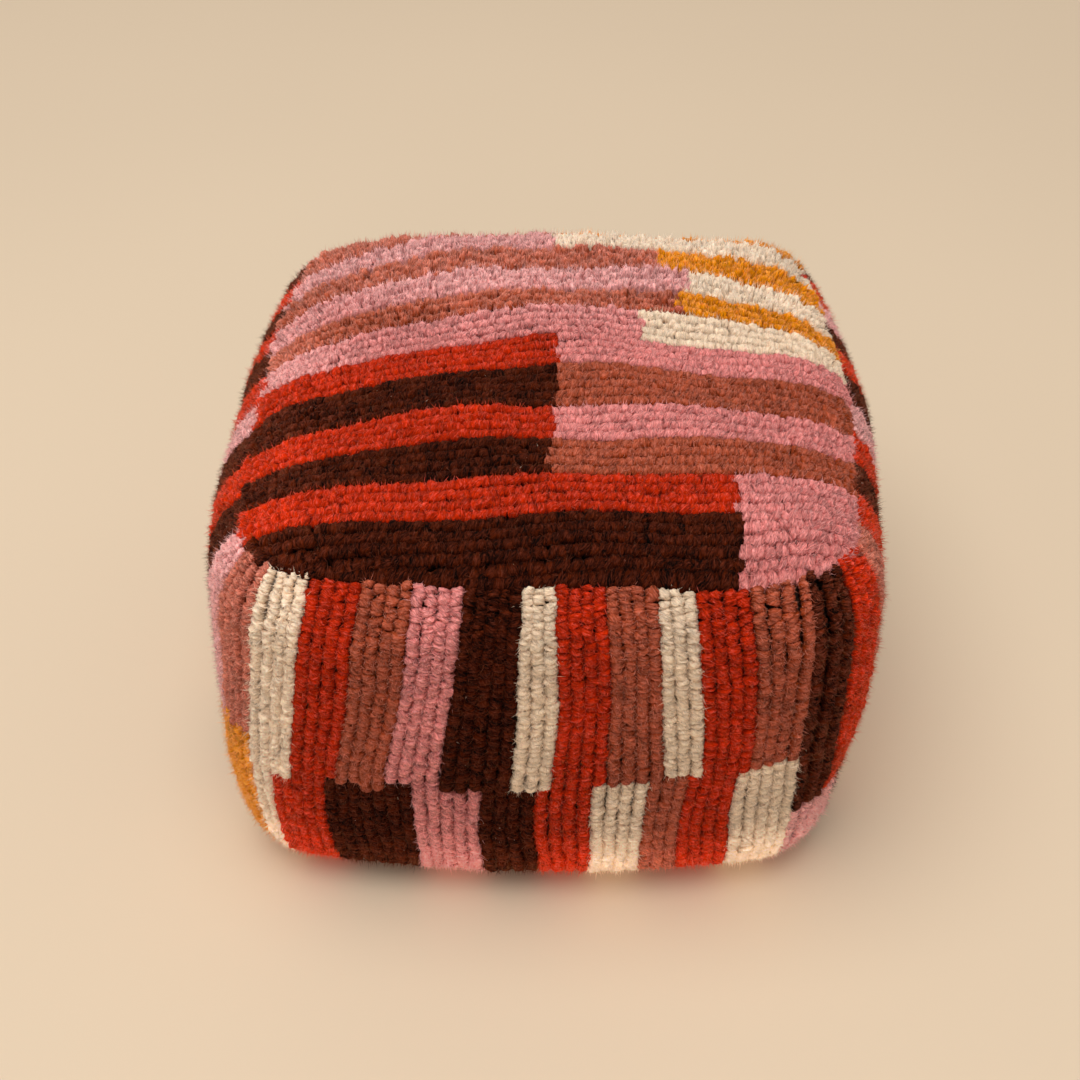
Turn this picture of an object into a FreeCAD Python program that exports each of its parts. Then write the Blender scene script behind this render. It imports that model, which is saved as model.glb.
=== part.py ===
"""Wool pile floor pouf: a stuffed square cushion with striped pile panels, a canvas base and a zip.

Millimetres, +Z up. The origin is at the middle of the base, on the floor, and the front faces -Y.
"""
import FreeCAD, Part
import math
import os

V = FreeCAD.Vector
Z_AXIS = V(0, 0, 1)

# Driving dimensions, in millimetres, degrees and counts
SIZES = {
    # stuffed form, over the tips of the pile
    "overall_width": 560.0,
    "overall_depth": 560.0,
    "overall_height": 380.0,
    "bulge_radius": 1250.0,
    "bulge_height": 190.0,
    "corner_radius": 92.0,
    "base_edge_radius": 68.0,
    "top_edge_radius": 80.0,
    "crown_rise": 12.0,
    # wool panels
    "pile_height": 18.0,
    "ground_thickness": 3.0,
    "top_seam_angle": 50.0,
    "seam_splay": 5.0,
    "corner_seam_gap": 4.0,
    "left_seam_angle": 35.0,
    "right_seam_angle": 18.0,
    "back_seam_angle": 27.0,
    "base_corner_radius": 24.0,
    "least_corner_radius": 4.0,
    # stripes of the pile
    "row_pitch": 10.5,
    "tuft_pitch": 9.3,
    "stripe_rows": 4.0,
    "first_stripe": 94.0,
    "stripe_reach": 220.0,
    "stripe_slant": 12.5,
    "stripe_arch": 29.0,
    "stripe_fan": 31.0,
    "band_height": 163.0,
    # canvas base
    "canvas_thickness": 2.0,
    "canvas_clearance": 0.2,
    "canvas_rim_gap": 0.4,
    "canvas_chamfer": 6.5,
    # zip in the base
    "zip_offset": 150.0,
    "zip_start": -172.0,
    "zip_finish": 172.0,
    "trough_half": 17.0,
    "trough_depth": 10.0,
    "tape_thickness": 0.8,
    "tape_lap": 6.0,
    "tape_gap": 2.6,
    "bead_width": 0.8,
    "tooth_pitch": 6.0,
    "tooth_length": 2.5,
    "tooth_reach": 3.4,
    "tooth_height": 3.8,
    "slider_length": 22.0,
    "slider_width": 15.0,
    "slider_plate": 1.9,
    "slider_clearance": 0.4,
    "slider_flange": 1.3,
    "wedge_length": 6.0,
    "wedge_width": 3.6,
    "lug_length": 5.0,
    "lug_width": 1.8,
    "lug_gap": 6.4,
    "pin_radius": 1.0,
    "pin_height": 3.4,
    "pin_fit": 0.05,
    "pull_length": 29.0,
    "pull_width": 10.0,
    "pull_thickness": 1.6,
    "pull_eye_radius": 2.1,
    "pull_neck_width": 5.8,
    "stop_length": 3.0,
    "stop_width": 2.2,
    "pull_end_clearance": 1.5,
    "end_tab_thickness": 1.4,
    # seam threads and the inner cushion
    "thread_width": 2.0,
    "thread_thickness": 1.2,
    "bag_clearance": 6.0,
    "bag_thickness": 1.6,
    "bag_channel_clearance": 2.4,
}

# Stripes of the top panel from front to back: the colour on the left, how many tufts right of
# the middle it ends, and the colour that goes on from there
TOP_STRIPES = [
    ("brown", 15, "pink"),
    ("red", 15, "pink"),
    ("brown", 0, "rose"),
    ("red", 0, "pink"),
    ("brown", 0, "rose"),
    ("red", 0, "pink"),
    ("pink", 8, "cream"),
    ("rose", 12, "ochre"),
    ("pink", 13, "cream"),
    ("rose", 10, "ochre"),
    ("pink", 0, "cream"),
    ("rose", 0, "ochre"),
]

# Stripes of the side panels as (colour, columns of tufts), in order round the pouf: left to right
# on each panel as one stands before it. A panel's columns are spread over its width
FRONT_UPPER = [("cream", 4), ("red", 4), ("rose", 4), ("pink", 4), ("brown", 5), ("cream", 3),
               ("red", 4), ("rose", 4), ("cream", 3), ("red", 4), ("rose", 4)]
FRONT_LOWER = [("cream", 2), ("red", 5), ("brown", 7), ("pink", 5), ("brown", 4), ("red", 4),
               ("cream", 4), ("rose", 3), ("red", 4), ("cream", 5)]
RIGHT_UPPER = [("brown", 3), ("red", 4), ("rose", 4), ("red", 4), ("brown", 4), ("red", 4),
               ("pink", 4), ("brown", 4), ("red", 4), ("brown", 4), ("pink", 4), ("red", 4),
               ("brown", 5), ("rose", 4)]
RIGHT_LOWER = [("pink", 6), ("brown", 5), ("red", 5), ("cream", 4), ("rose", 5), ("red", 5),
               ("brown", 5), ("pink", 4), ("cream", 4), ("brown", 7), ("red", 6)]
BACK_UPPER = [("red", 4), ("pink", 4), ("brown", 4), ("cream", 3), ("rose", 4), ("red", 4),
              ("pink", 4), ("brown", 5), ("cream", 3), ("red", 4), ("rose", 4)]
BACK_LOWER = [("pink", 6), ("brown", 5), ("cream", 4), ("red", 5), ("rose", 4), ("pink", 4),
              ("brown", 6), ("cream", 4), ("red", 5)]
LEFT_UPPER = [("rose", 3), ("pink", 3), ("brown", 4), ("red", 4), ("brown", 4), ("red", 4),
              ("brown", 4), ("red", 4), ("pink", 4), ("brown", 4), ("red", 4), ("brown", 4),
              ("pink", 4), ("rose", 4)]
LEFT_LOWER = [("red", 6), ("ochre", 4), ("brown", 5), ("rose", 4), ("red", 5), ("cream", 4),
              ("pink", 5), ("brown", 6), ("red", 5), ("cream", 4), ("ochre", 6)]

# Corners of the plan as the signs of X and Y, in order round the pouf from the front right
CORNERS = [(1, -1), (1, 1), (-1, 1), (-1, -1)]

# Round stretches are drawn in a few straight spans, to keep the soft forms light
TOP_EDGE_SPANS = 2
BASE_EDGE_SPANS = 2
RIM_SPANS = 3
SIDE_SPANS = 4
CORNER_SPANS = 4
HIDDEN_SPANS = 2
CROWN_SCALES = [0.62, 0.04]
HIDDEN_CROWN_SCALES = [0.5, 0.06]

doc = FreeCAD.newDocument("WoolPilePouf")


def make_sheet():
    """Write the driving dimensions to a spreadsheet with one alias each."""
    sheet = doc.addObject("Spreadsheet::Sheet", "Sizes")
    for row, (alias, value) in enumerate(SIZES.items(), start=1):
        sheet.set(f"A{row}", alias)
        sheet.set(f"B{row}", str(value))
        sheet.setAlias(f"B{row}", alias)
    doc.recompute()
    return sheet


sheet = make_sheet()
size = {alias: float(sheet.get(alias)) for alias in SIZES}


# Document helpers

def expr(text):
    """Turn a formula written with bare aliases into one that reads the sheet."""
    words = []
    word = ""
    for letter in text + " ":
        if letter.isalnum() or letter == "_":
            word += letter
            continue
        words.append("Sizes." + word if word in SIZES else word)
        words.append(letter)
        word = ""
    return "".join(words).strip()


def bind(thing, **formulas):
    """Bind properties of an object to formulas of the sheet's aliases."""
    for name, formula in formulas.items():
        thing.setExpression(name.replace("__", "."), expr(str(formula)))
    return thing


def add(kind, name):
    """Add an object of one kind, labelled with its name."""
    thing = doc.addObject(kind, name)
    thing.Label = name
    return thing


def feature(name, shape):
    """Add an object whose shape is made by Part's own functions."""
    thing = add("Part::Feature", name)
    thing.Shape = shape
    return thing


def box(name, x, y, z):
    """A box between two bounds on each axis, each bound a formula."""
    thing = add("Part::Box", name)
    spans = [f"({bounds[1]}) - ({bounds[0]})" for bounds in (x, y, z)]
    bind(thing, Length=spans[0], Width=spans[1], Height=spans[2])
    return bind(thing, Placement__Base__x=x[0], Placement__Base__y=y[0], Placement__Base__z=z[0])


def rod_along_y(name, radius, x, y, z):
    """A cylinder along Y between two bounds."""
    thing = add("Part::Cylinder", name)
    thing.Placement = FreeCAD.Placement(V(0, 0, 0), FreeCAD.Rotation(V(1, 0, 0), -90))
    bind(thing, Radius=radius, Height=f"({y[1]}) - ({y[0]})")
    return bind(thing, Placement__Base__x=x, Placement__Base__y=y[0], Placement__Base__z=z)


def cut(name, base, tool):
    thing = add("Part::Cut", name)
    thing.Base = base
    thing.Tool = tool
    return thing


def common(name, base, tool):
    thing = add("Part::Common", name)
    thing.Base = base
    thing.Tool = tool
    return thing


def fuse(name, *shapes):
    thing = add("Part::MultiFuse", name)
    thing.Shapes = list(shapes)
    return thing


def group(name, members):
    """One node that holds several separate solids."""
    thing = add("Part::Compound", name)
    thing.Links = members
    return thing


nodes = []


def node(thing):
    """Mark an object as a finished sub-part, written to a file of its label's name."""
    nodes.append(thing)
    return thing


# Plan of the stuffed form: four bulged sides joined by four round corners

def side_centre(sign_x, sign_y):
    """Centre of the large arc of one side, given the direction the side faces."""
    reach = size["overall_width"] if sign_x else size["overall_depth"]
    return V(sign_x, sign_y, 0) * (reach / 2 - size["bulge_radius"])


def corner_centre(sign_x, sign_y):
    """Centre of a corner's arc, which is tangent to the arcs of both sides."""
    one, other = side_centre(sign_x, 0), side_centre(0, sign_y)
    across = (other - one) / 2
    reach = size["bulge_radius"] - size["corner_radius"]
    outward = V(sign_x * abs(across.y), sign_y * abs(across.x), 0).normalize()
    return one + across + outward * math.sqrt(reach ** 2 - across.Length ** 2)


def heading(direction):
    """Angle of a direction in plan, in degrees from +X."""
    return math.degrees(math.atan2(direction.y, direction.x))


def plan_sectors():
    """The eight arcs of the plan in order, as (centre, radius, start heading, sweep)."""
    sectors = []
    for index, corner in enumerate(CORNERS):
        centre = corner_centre(*corner)
        after = CORNERS[(index + 1) % 4]
        faces = [(0, corner[1]), (corner[0], 0)]
        shared = (corner[0], 0) if corner[0] == after[0] else (0, corner[1])
        first = faces[0] if shared == faces[1] else faces[1]
        start = heading(centre - side_centre(*first))
        middle = heading(centre - side_centre(*shared))
        sectors.append((centre, size["corner_radius"], start, (middle - start) % 360))
        finish = heading(corner_centre(*after) - side_centre(*shared))
        sectors.append((side_centre(*shared), size["bulge_radius"], middle, (finish - middle) % 360))
    return sectors


SECTORS = plan_sectors()


def around(centre, radius, angle, z=0.0):
    """Point on a circle about a vertical axis."""
    turn = math.radians(angle)
    return centre + V(math.cos(turn), math.sin(turn), 0) * radius + Z_AXIS * z


def outline(inset, z, scale=1.0, side_spans=SIDE_SPANS, corner_spans=CORNER_SPANS):
    """Points of the plan outline, drawn in by an inset, at one height.

    Once the corners are at their least radius, the outline shrinks towards the middle instead.
    """
    drawn_in = min(inset, size["corner_radius"] - size["least_corner_radius"])
    half = min(size["overall_width"], size["overall_depth"]) / 2
    shrink = scale * (half - inset) / (half - drawn_in)
    points = []
    for centre, radius, start, sweep in SECTORS:
        spans = corner_spans if radius == size["corner_radius"] else side_spans
        for step in range(spans):
            point = around(centre, radius - drawn_in, start + sweep * step / spans)
            points.append(point * shrink + Z_AXIS * z)
    return points


def bands_between(levels):
    """Flat four-sided faces between each outline and the next."""
    faces = []
    for low, high in zip(levels, levels[1:]):
        for index in range(len(low)):
            after = (index + 1) % len(low)
            corners = [low[index], low[after], high[after], high[index], low[index]]
            faces.append(Part.Face(Part.makePolygon(corners)))
    return faces


def stack(levels):
    """Solid through a stack of outlines, closed by a flat face at each end."""
    ends = [Part.Face(Part.makePolygon(level + level[:1])) for level in (levels[0], levels[-1])]
    return Part.makeSolid(Part.makeShell(bands_between(levels) + ends))


def hidden_outline(inset, z, scale=1.0):
    """Outline of a piece inside the cover, in fewer spans."""
    return outline(inset, z, scale, HIDDEN_SPANS, HIDDEN_SPANS)


def ring(points, draw=outline):
    """Solid ring round the whole pouf from a closed run of (inset, height) points."""
    levels = [draw(*point) for point in points]
    return Part.makeSolid(Part.makeShell(bands_between(levels + levels[:1])))


# Upright profile of the sides, as (inset, height) points: base edge, bulge and top edge

def profile_circles():
    """Centres of the base edge's and the top edge's arcs, both tangent to the bulge."""
    bulge, height = size["bulge_radius"], size["bulge_height"]

    def inset_at(radius, z):
        return bulge - math.sqrt((bulge - radius) ** 2 - (z - height) ** 2)

    low_radius, high_radius = size["base_edge_radius"], size["top_edge_radius"]
    slope = math.atan(4 * size["crown_rise"] / min(size["overall_width"], size["overall_depth"]))
    high = size["overall_height"] - size["crown_rise"] - high_radius * math.cos(slope)
    return {
        "base": (inset_at(low_radius, low_radius), low_radius, low_radius),
        "top": (inset_at(high_radius, high), high, high_radius),
        "rim_angle": 90 - math.degrees(slope),
    }


CIRCLES = profile_circles()


def on_edge(which, angle, depth=0.0):
    """Point on the base or top edge's arc, a depth below the tips of the pile."""
    inset, z, radius = CIRCLES[which]
    turn = math.radians(angle)
    return inset - (radius - depth) * math.cos(turn), z + (radius - depth) * math.sin(turn)


def tangent_angle(which):
    """Angle at which the base or top edge runs into the bulge."""
    inset, z, radius = CIRCLES[which]
    return math.degrees(math.asin((z - size["bulge_height"]) / (size["bulge_radius"] - radius)))


BASE_INSET = size["corner_radius"] - size["base_corner_radius"]


def base_angle(depth):
    """Angle of the base edge's arc where the canvas begins."""
    inset, z, radius = CIRCLES["base"]
    return -math.degrees(math.acos((inset - BASE_INSET) / (radius - depth)))


SEAM = size["top_seam_angle"]
SPLAY = size["seam_splay"]


def edge_run(which, first, last, spans, depth=0.0):
    """Points along the base or top edge's arc between two angles."""
    return [on_edge(which, first + (last - first) * step / spans, depth) for step in range(spans + 1)]


def bulge_at(z):
    """Point of the bulge over the pile tips at one height."""
    bulge = size["bulge_radius"]
    return bulge - math.sqrt(bulge ** 2 - (z - size["bulge_height"]) ** 2), z


def hidden_upper(depth):
    """Points of the profile below the pile, from the top seam to the widest place."""
    return edge_run("top", SEAM, tangent_angle("top"), 1, depth) + [(depth, size["bulge_height"])]


def hidden_lower(depth):
    """Points of the profile below the pile, from under the widest place to the base seam."""
    return edge_run("base", tangent_angle("base"), base_angle(depth), 2, depth)


def hidden_profile(depth):
    """Points of the profile below the pile, from the top seam to the base seam."""
    return hidden_upper(depth) + hidden_lower(depth)


def root_at_band():
    """Root of the pile where the upper and lower bands of stripes meet."""
    above, below = hidden_upper(PILE)[-1], hidden_lower(PILE)[0]
    part = (size["band_height"] - above[1]) / (below[1] - above[1])
    return above[0] + (below[0] - above[0]) * part, size["band_height"]


def upper_profile():
    """Closed run of points round the pile of the upper band."""
    tips = [bulge_at(size["band_height"]), (0.0, size["bulge_height"])]
    tips += edge_run("top", tangent_angle("top"), SEAM - SPLAY, TOP_EDGE_SPANS)
    return tips + hidden_upper(PILE) + [root_at_band()]


def lower_profile():
    """Closed run of points round the pile of the lower band."""
    tips = edge_run("base", base_angle(0), tangent_angle("base"), BASE_EDGE_SPANS)
    return tips + [bulge_at(size["band_height"]), root_at_band()] + hidden_lower(PILE)


def turned(profile, sector, first, last):
    """Closed profile turned about a sector's upright axis, between two headings."""
    centre, radius = sector[0], sector[1]
    points = [around(centre, radius - inset, first, z) for inset, z in profile + profile[:1]]
    return Part.Face(Part.makePolygon(points)).revolve(centre, Z_AXIS, last - first)


PILE = size["pile_height"]
GROUND = size["ground_thickness"]
CANVAS_RIM = on_edge("base", base_angle(PILE), PILE)[1] - size["canvas_rim_gap"]


# Regions of the four side panels, which part at the corner seams

def seam_angle_of(corner):
    """How far round a corner, from the front or back, its seam lies."""
    if corner[1] > 0:
        return size["back_seam_angle"]
    return size["right_seam_angle"] if corner[0] > 0 else size["left_seam_angle"]


def seam_heading(corner):
    """Direction in which a corner's seam faces, from the corner's centre."""
    return 90 * corner[1] - corner[0] * corner[1] * seam_angle_of(corner)


def region(name, first, second):
    """Upright prism that holds one panel, between the seams at two corners."""
    reach = size["overall_width"] + size["overall_depth"]
    near = [corner_centre(*corner) for corner in (first, second)]
    far = [around(corner_centre(*corner), reach, seam_heading(corner)) for corner in (first, second)]
    points = [V(0, 0, 0), near[0], far[0], far[1], near[1], V(0, 0, 0)]
    face = Part.Face(Part.makePolygon(points))
    return feature(name, face.extrude(Z_AXIS * size["overall_height"]))


FRONT_RIGHT, BACK_RIGHT, BACK_LEFT, FRONT_LEFT = CORNERS
PANEL_CORNERS = {
    "front": (FRONT_LEFT, FRONT_RIGHT),
    "right": (FRONT_RIGHT, BACK_RIGHT),
    "back": (BACK_RIGHT, BACK_LEFT),
    "left": (BACK_LEFT, FRONT_LEFT),
}

side_ground = feature("side_ground", ring(hidden_profile(PILE) + hidden_profile(PILE + GROUND)[::-1]))
for name, (first, second) in PANEL_CORNERS.items():
    node(common(f"{name}_ground", side_ground, region(f"{name}_region", first, second)))


def panel_path(name):
    """Runs of a panel's pile between its seams, as (sector, first heading, last heading)."""
    first, second = PANEL_CORNERS[name]
    gap = math.degrees(size["corner_seam_gap"] / 2 / size["corner_radius"])
    start = SECTORS[2 * CORNERS.index(first)]
    side = SECTORS[2 * CORNERS.index(first) + 1]
    finish = SECTORS[2 * CORNERS.index(second)]
    from_start = (seam_heading(first) + gap - start[2]) % 360
    to_finish = (seam_heading(second) - gap - finish[2]) % 360
    return [
        (start, start[2] + from_start, start[2] + start[3]),
        (side, side[2], side[2] + side[3]),
        (finish, finish[2], finish[2] + to_finish),
    ]


def run_length(run):
    """Length of a run along the pile tips."""
    sector, first, last = run
    return sector[1] * math.radians(last - first)


# Pile and woven ground of the top

def crown(depth, scales, draw=outline):
    """Outlines of the crown inside the rim, drawn in towards the middle."""
    inset, edge = on_edge("top", CIRCLES["rim_angle"], depth)
    return [draw(inset, edge + size["crown_rise"] * (1 - scale ** 2), scale) for scale in scales]


def rim(first, depth, spans):
    """Outlines of the top's rounded rim, from an angle of the edge's arc to the crown."""
    return [outline(*point) for point in edge_run("top", first, CIRCLES["rim_angle"], spans, depth)]


def hidden_top(depth):
    """Solid under the top's pile, from the top seam to the crown."""
    return stack(rim(SEAM, depth, 2) + crown(depth, HIDDEN_CROWN_SCALES))


def top_solid():
    """Solid under the pile tips of the top, drawn in to the open crease at its seam."""
    root = outline(*on_edge("top", SEAM, PILE))
    return stack([root] + rim(SEAM + SPLAY, 0.0, RIM_SPANS) + crown(0.0, CROWN_SCALES))


top_under = feature("top_under_pile", hidden_top(PILE))
top_pile = cut("top_pile", feature("top_tips", top_solid()), top_under)
node(cut("top_ground", top_under, feature("top_inside", hidden_top(PILE + GROUND))))


# Stripes: blocks of one colour, cut from the top's pile by rows and turned round the sides by columns

blocks = {}
BEYOND = "overall_width + overall_depth"


def keep_block(panel, colour, make):
    """Make one block of a stripe and keep it with the others of its panel and colour."""
    members = blocks.setdefault((panel, colour), [])
    members.append(make(f"{panel}_{colour}_{len(members) + 1}"))


PAST_EDGE = size["overall_width"] + size["overall_depth"]
BENDS = [size["stripe_reach"] * share for share in (-1.0, -1 / 3, 1 / 3, 1.0)]


def stripe_bend(index, x):
    """Y at which a stripe of the top begins, which slants, arches and fans out to the back."""
    middle = size["first_stripe"] - size["overall_depth"] / 2
    middle += (index - 1) * size["stripe_rows"] * size["row_pitch"]
    across, back = x / size["stripe_reach"], middle / size["stripe_reach"]
    arch = size["stripe_arch"] + size["stripe_fan"] * back
    return middle + size["stripe_slant"] * across - arch * across ** 2


def stripe_y(index, x):
    """Y of a stripe's beginning on the straight spans between its bends."""
    if index in (0, len(TOP_STRIPES)):
        return PAST_EDGE if index else -PAST_EDGE
    x = min(max(x, BENDS[0]), BENDS[-1])
    for near, far in zip(BENDS, BENDS[1:]):
        if x <= far:
            part = (x - near) / (far - near)
            return stripe_bend(index, near) * (1 - part) + stripe_bend(index, far) * part


def stripe_line(index, first, last):
    """Points of a stripe's beginning between two bounds in X."""
    places = [first] + [bend for bend in BENDS if first < bend < last] + [last]
    return [V(x, stripe_y(index, x), 0) for x in places]


def top_block(name, across, index):
    """Block of the top's pile in one stripe, between two bounds in X."""
    corners = stripe_line(index, *across) + stripe_line(index + 1, *across)[::-1]
    bounds = Part.Face(Part.makePolygon(corners + corners[:1])).extrude(Z_AXIS * size["overall_height"] * 2)
    return common(name, top_pile, feature(f"{name}_bounds", bounds))


def top_stripes():
    for index, (left, tufts, right) in enumerate(TOP_STRIPES):
        change = tufts * size["tuft_pitch"]
        for colour, across in ((left, (-PAST_EDGE, change)), (right, (change, PAST_EDGE))):
            keep_block("top", colour, lambda name: top_block(name, across, index))


def stripe_pieces(path, first, last):
    """The runs of a path between two lengths along it."""
    pieces = []
    begun = 0.0
    for run in path:
        length = run_length(run)
        near, far = max(first - begun, 0.0), min(last - begun, length)
        if far - near > 1e-6:
            sector, start, finish = run
            turn = (finish - start) / length
            pieces.append((sector, start + near * turn, start + far * turn))
        begun += length
    return pieces


def side_stripes(panel, stripes, profile):
    """One band of a side panel's stripes, their columns spread evenly from seam to seam."""
    path = panel_path(panel)
    pitch = sum(run_length(run) for run in path) / sum(count for colour, count in stripes)
    begun = 0.0
    for colour, count in stripes:
        for piece in stripe_pieces(path, begun, begun + count * pitch):
            keep_block(panel, colour, lambda name: feature(name, turned(profile, *piece)))
        begun += count * pitch


top_stripes()
for panel, upper, lower in (("front", FRONT_UPPER, FRONT_LOWER), ("right", RIGHT_UPPER, RIGHT_LOWER),
                            ("back", BACK_UPPER, BACK_LOWER), ("left", LEFT_UPPER, LEFT_LOWER)):
    side_stripes(panel, upper, upper_profile())
    side_stripes(panel, lower, lower_profile())
for (panel, colour), members in blocks.items():
    node(group(f"{panel}_pile_{colour}", members))


# Canvas base: a shallow dish in two panels with the zip's trough between them

def base_dish():
    """Outside and inside of the canvas dish."""
    rim_inset = BASE_INSET + size["canvas_clearance"]
    chamfer, canvas = size["canvas_chamfer"], size["canvas_thickness"]
    outside = [(rim_inset + chamfer, 0.0), (rim_inset, chamfer), (rim_inset, CANVAS_RIM)]
    inside = [(inset + canvas, max(z, canvas)) for inset, z in outside]
    return [stack([outline(*point) for point in run]) for run in (outside, inside)]


outside, inside = base_dish()
dish_filled = feature("dish_filled", outside)
dish = feature("dish", outside.cut(inside))
TROUGH_FRONT = "zip_offset - trough_half"
TROUGH_REAR = "zip_offset + trough_half"
WIDE = (f"-({BEYOND})", BEYOND)


def base_fold(name, x, y):
    """Canvas folded up to the depth of the zip's trough."""
    return common(name, dish_filled, box(f"{name}_bounds", x, y, ("0", "trough_depth")))


def base_panel(name, y):
    """One canvas panel's part of the dish."""
    return common(name, dish, box(f"{name}_bounds", WIDE, y, ("0", "overall_height")))


# The trough runs on past both ends of the zip, far enough for the pull to lie there
END_RUN = "(pull_length - lug_length * 1.5 + pull_end_clearance)"
TROUGH_ENDS = ((f"-({BEYOND})", f"zip_start - {END_RUN}"), (f"zip_finish + {END_RUN}", BEYOND))
main_fold = base_fold("main_fold", WIDE, (f"{TROUGH_FRONT} - canvas_thickness", TROUGH_FRONT))
node(fuse("base_main_panel", base_panel("main_flat", (f"-({BEYOND})", TROUGH_FRONT)), main_fold))
node(group("base_end_folds", [base_fold(f"end_fold_{index + 1}", x, (TROUGH_FRONT, TROUGH_REAR))
                              for index, x in enumerate(TROUGH_ENDS)]))
rear_fold = base_fold("rear_fold", WIDE, (TROUGH_REAR, f"{TROUGH_REAR} + canvas_thickness"))
node(fuse("base_rear_strip", base_panel("rear_flat", (TROUGH_REAR, BEYOND)), rear_fold))


# Zip: tapes, teeth, stops and end tabs

TAPE_Z = ("trough_depth", "trough_depth + tape_thickness")
TEETH_MIDDLE = "trough_depth + tape_thickness / 2"
TEETH_Z = (f"{TEETH_MIDDLE} - tooth_height / 2", f"{TEETH_MIDDLE} + tooth_height / 2")
TAPE_X = (f"zip_start - {END_RUN}", f"zip_finish + {END_RUN}")
TEETH_FINISH = "zip_finish - wedge_length - slider_clearance * 4"
TOOTH_COUNT = int((size["zip_finish"] - size["zip_start"] - size["wedge_length"]) / size["tooth_pitch"]) - 1


def across_zip(side, near, far):
    """Bounds in Y on one side of the zip's middle line, side -1 to the front and 1 to the rear."""
    if side < 0:
        return f"zip_offset - ({far})", f"zip_offset - ({near})"
    return f"zip_offset + {near}", f"zip_offset + {far}"


def zip_half(name, side):
    """Tape with its row of teeth on a beaded edge."""
    tape_y = across_zip(side, "tape_gap + bead_width", "trough_half + tape_lap")
    node(box(f"zip_tape_{name}", TAPE_X, tape_y, TAPE_Z))
    bead_y = across_zip(side, "tape_gap", "tape_gap + bead_width")
    bead = box(f"zip_bead_{name}", ("zip_start", TEETH_FINISH), bead_y, TEETH_Z)
    tooth_y = across_zip(side, "tape_gap - tooth_reach", "tape_gap")
    offset = "0" if side < 0 else "tooth_pitch / 2"
    teeth = []
    for index in range(TOOTH_COUNT):
        start = f"zip_start + {offset} + {index} * tooth_pitch"
        along = (start, f"{start} + tooth_length")
        teeth.append(box(f"zip_tooth_{name}_{index + 1}", along, tooth_y, TEETH_Z))
    return node(fuse(f"zip_teeth_{name}", bead, *teeth))


for name, side in (("front", -1), ("rear", 1)):
    zip_half(name, side)


def top_stops():
    """A stop on each tape's edge, past the closed slider."""
    along = ("zip_finish", "zip_finish + stop_length")
    far = "tape_gap + bead_width"
    spans = [across_zip(side, f"{far} - stop_width", far) for side in (-1, 1)]
    return [box(f"zip_top_stop_{index + 1}", along, span, TEETH_Z) for index, span in enumerate(spans)]


node(group("zip_top_stops", top_stops()))
node(box("zip_bottom_stop", ("zip_start - stop_length", "zip_start"),
         ("zip_offset - tape_gap - bead_width", "zip_offset + tape_gap + bead_width"), TEETH_Z))


def end_tabs():
    """Fabric tab under each end of the tapes, from one folded canvas edge to the other."""
    spans = ((TAPE_X[0], "zip_start - stop_length * 1.5"), ("zip_finish + stop_length * 1.5", TAPE_X[1]))
    height = ("trough_depth - end_tab_thickness", "trough_depth")
    return [box(f"zip_end_tab_{index + 1}", span, (TROUGH_FRONT, TROUGH_REAR), height)
            for index, span in enumerate(spans)]


node(group("zip_end_tabs", end_tabs()))


# Zip slider, its pin and the pull tab, drawn at the closed end

SLIDER_X = ("zip_finish - slider_length", "zip_finish")
SLIDER_HALF = "slider_width / 2"
LOW_TOP = f"{TEETH_Z[0]} - slider_clearance"
HIGH_BOTTOM = f"{TEETH_Z[1]} + slider_clearance"
LOW_BOTTOM = f"{LOW_TOP} - slider_plate"
SLIDER_Y = (f"zip_offset - {SLIDER_HALF}", f"zip_offset + {SLIDER_HALF}")
PIN_X = "zip_finish - slider_length + lug_length * 1.5"
LUG_FAR = "lug_gap / 2 + lug_width"


def eased(name, shape, cut_back):
    """Cut back the upright edges of a plate."""
    doc.recompute()
    thing = add("Part::Chamfer", name)
    thing.Base = shape
    edges = []
    for index, edge in enumerate(shape.Shape.Edges, start=1):
        ends = [vertex.Point for vertex in edge.Vertexes]
        if abs(ends[0].x - ends[1].x) + abs(ends[0].y - ends[1].y) < 1e-6:
            edges.append((index, cut_back, cut_back))
    thing.Edges = edges
    return thing


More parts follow.
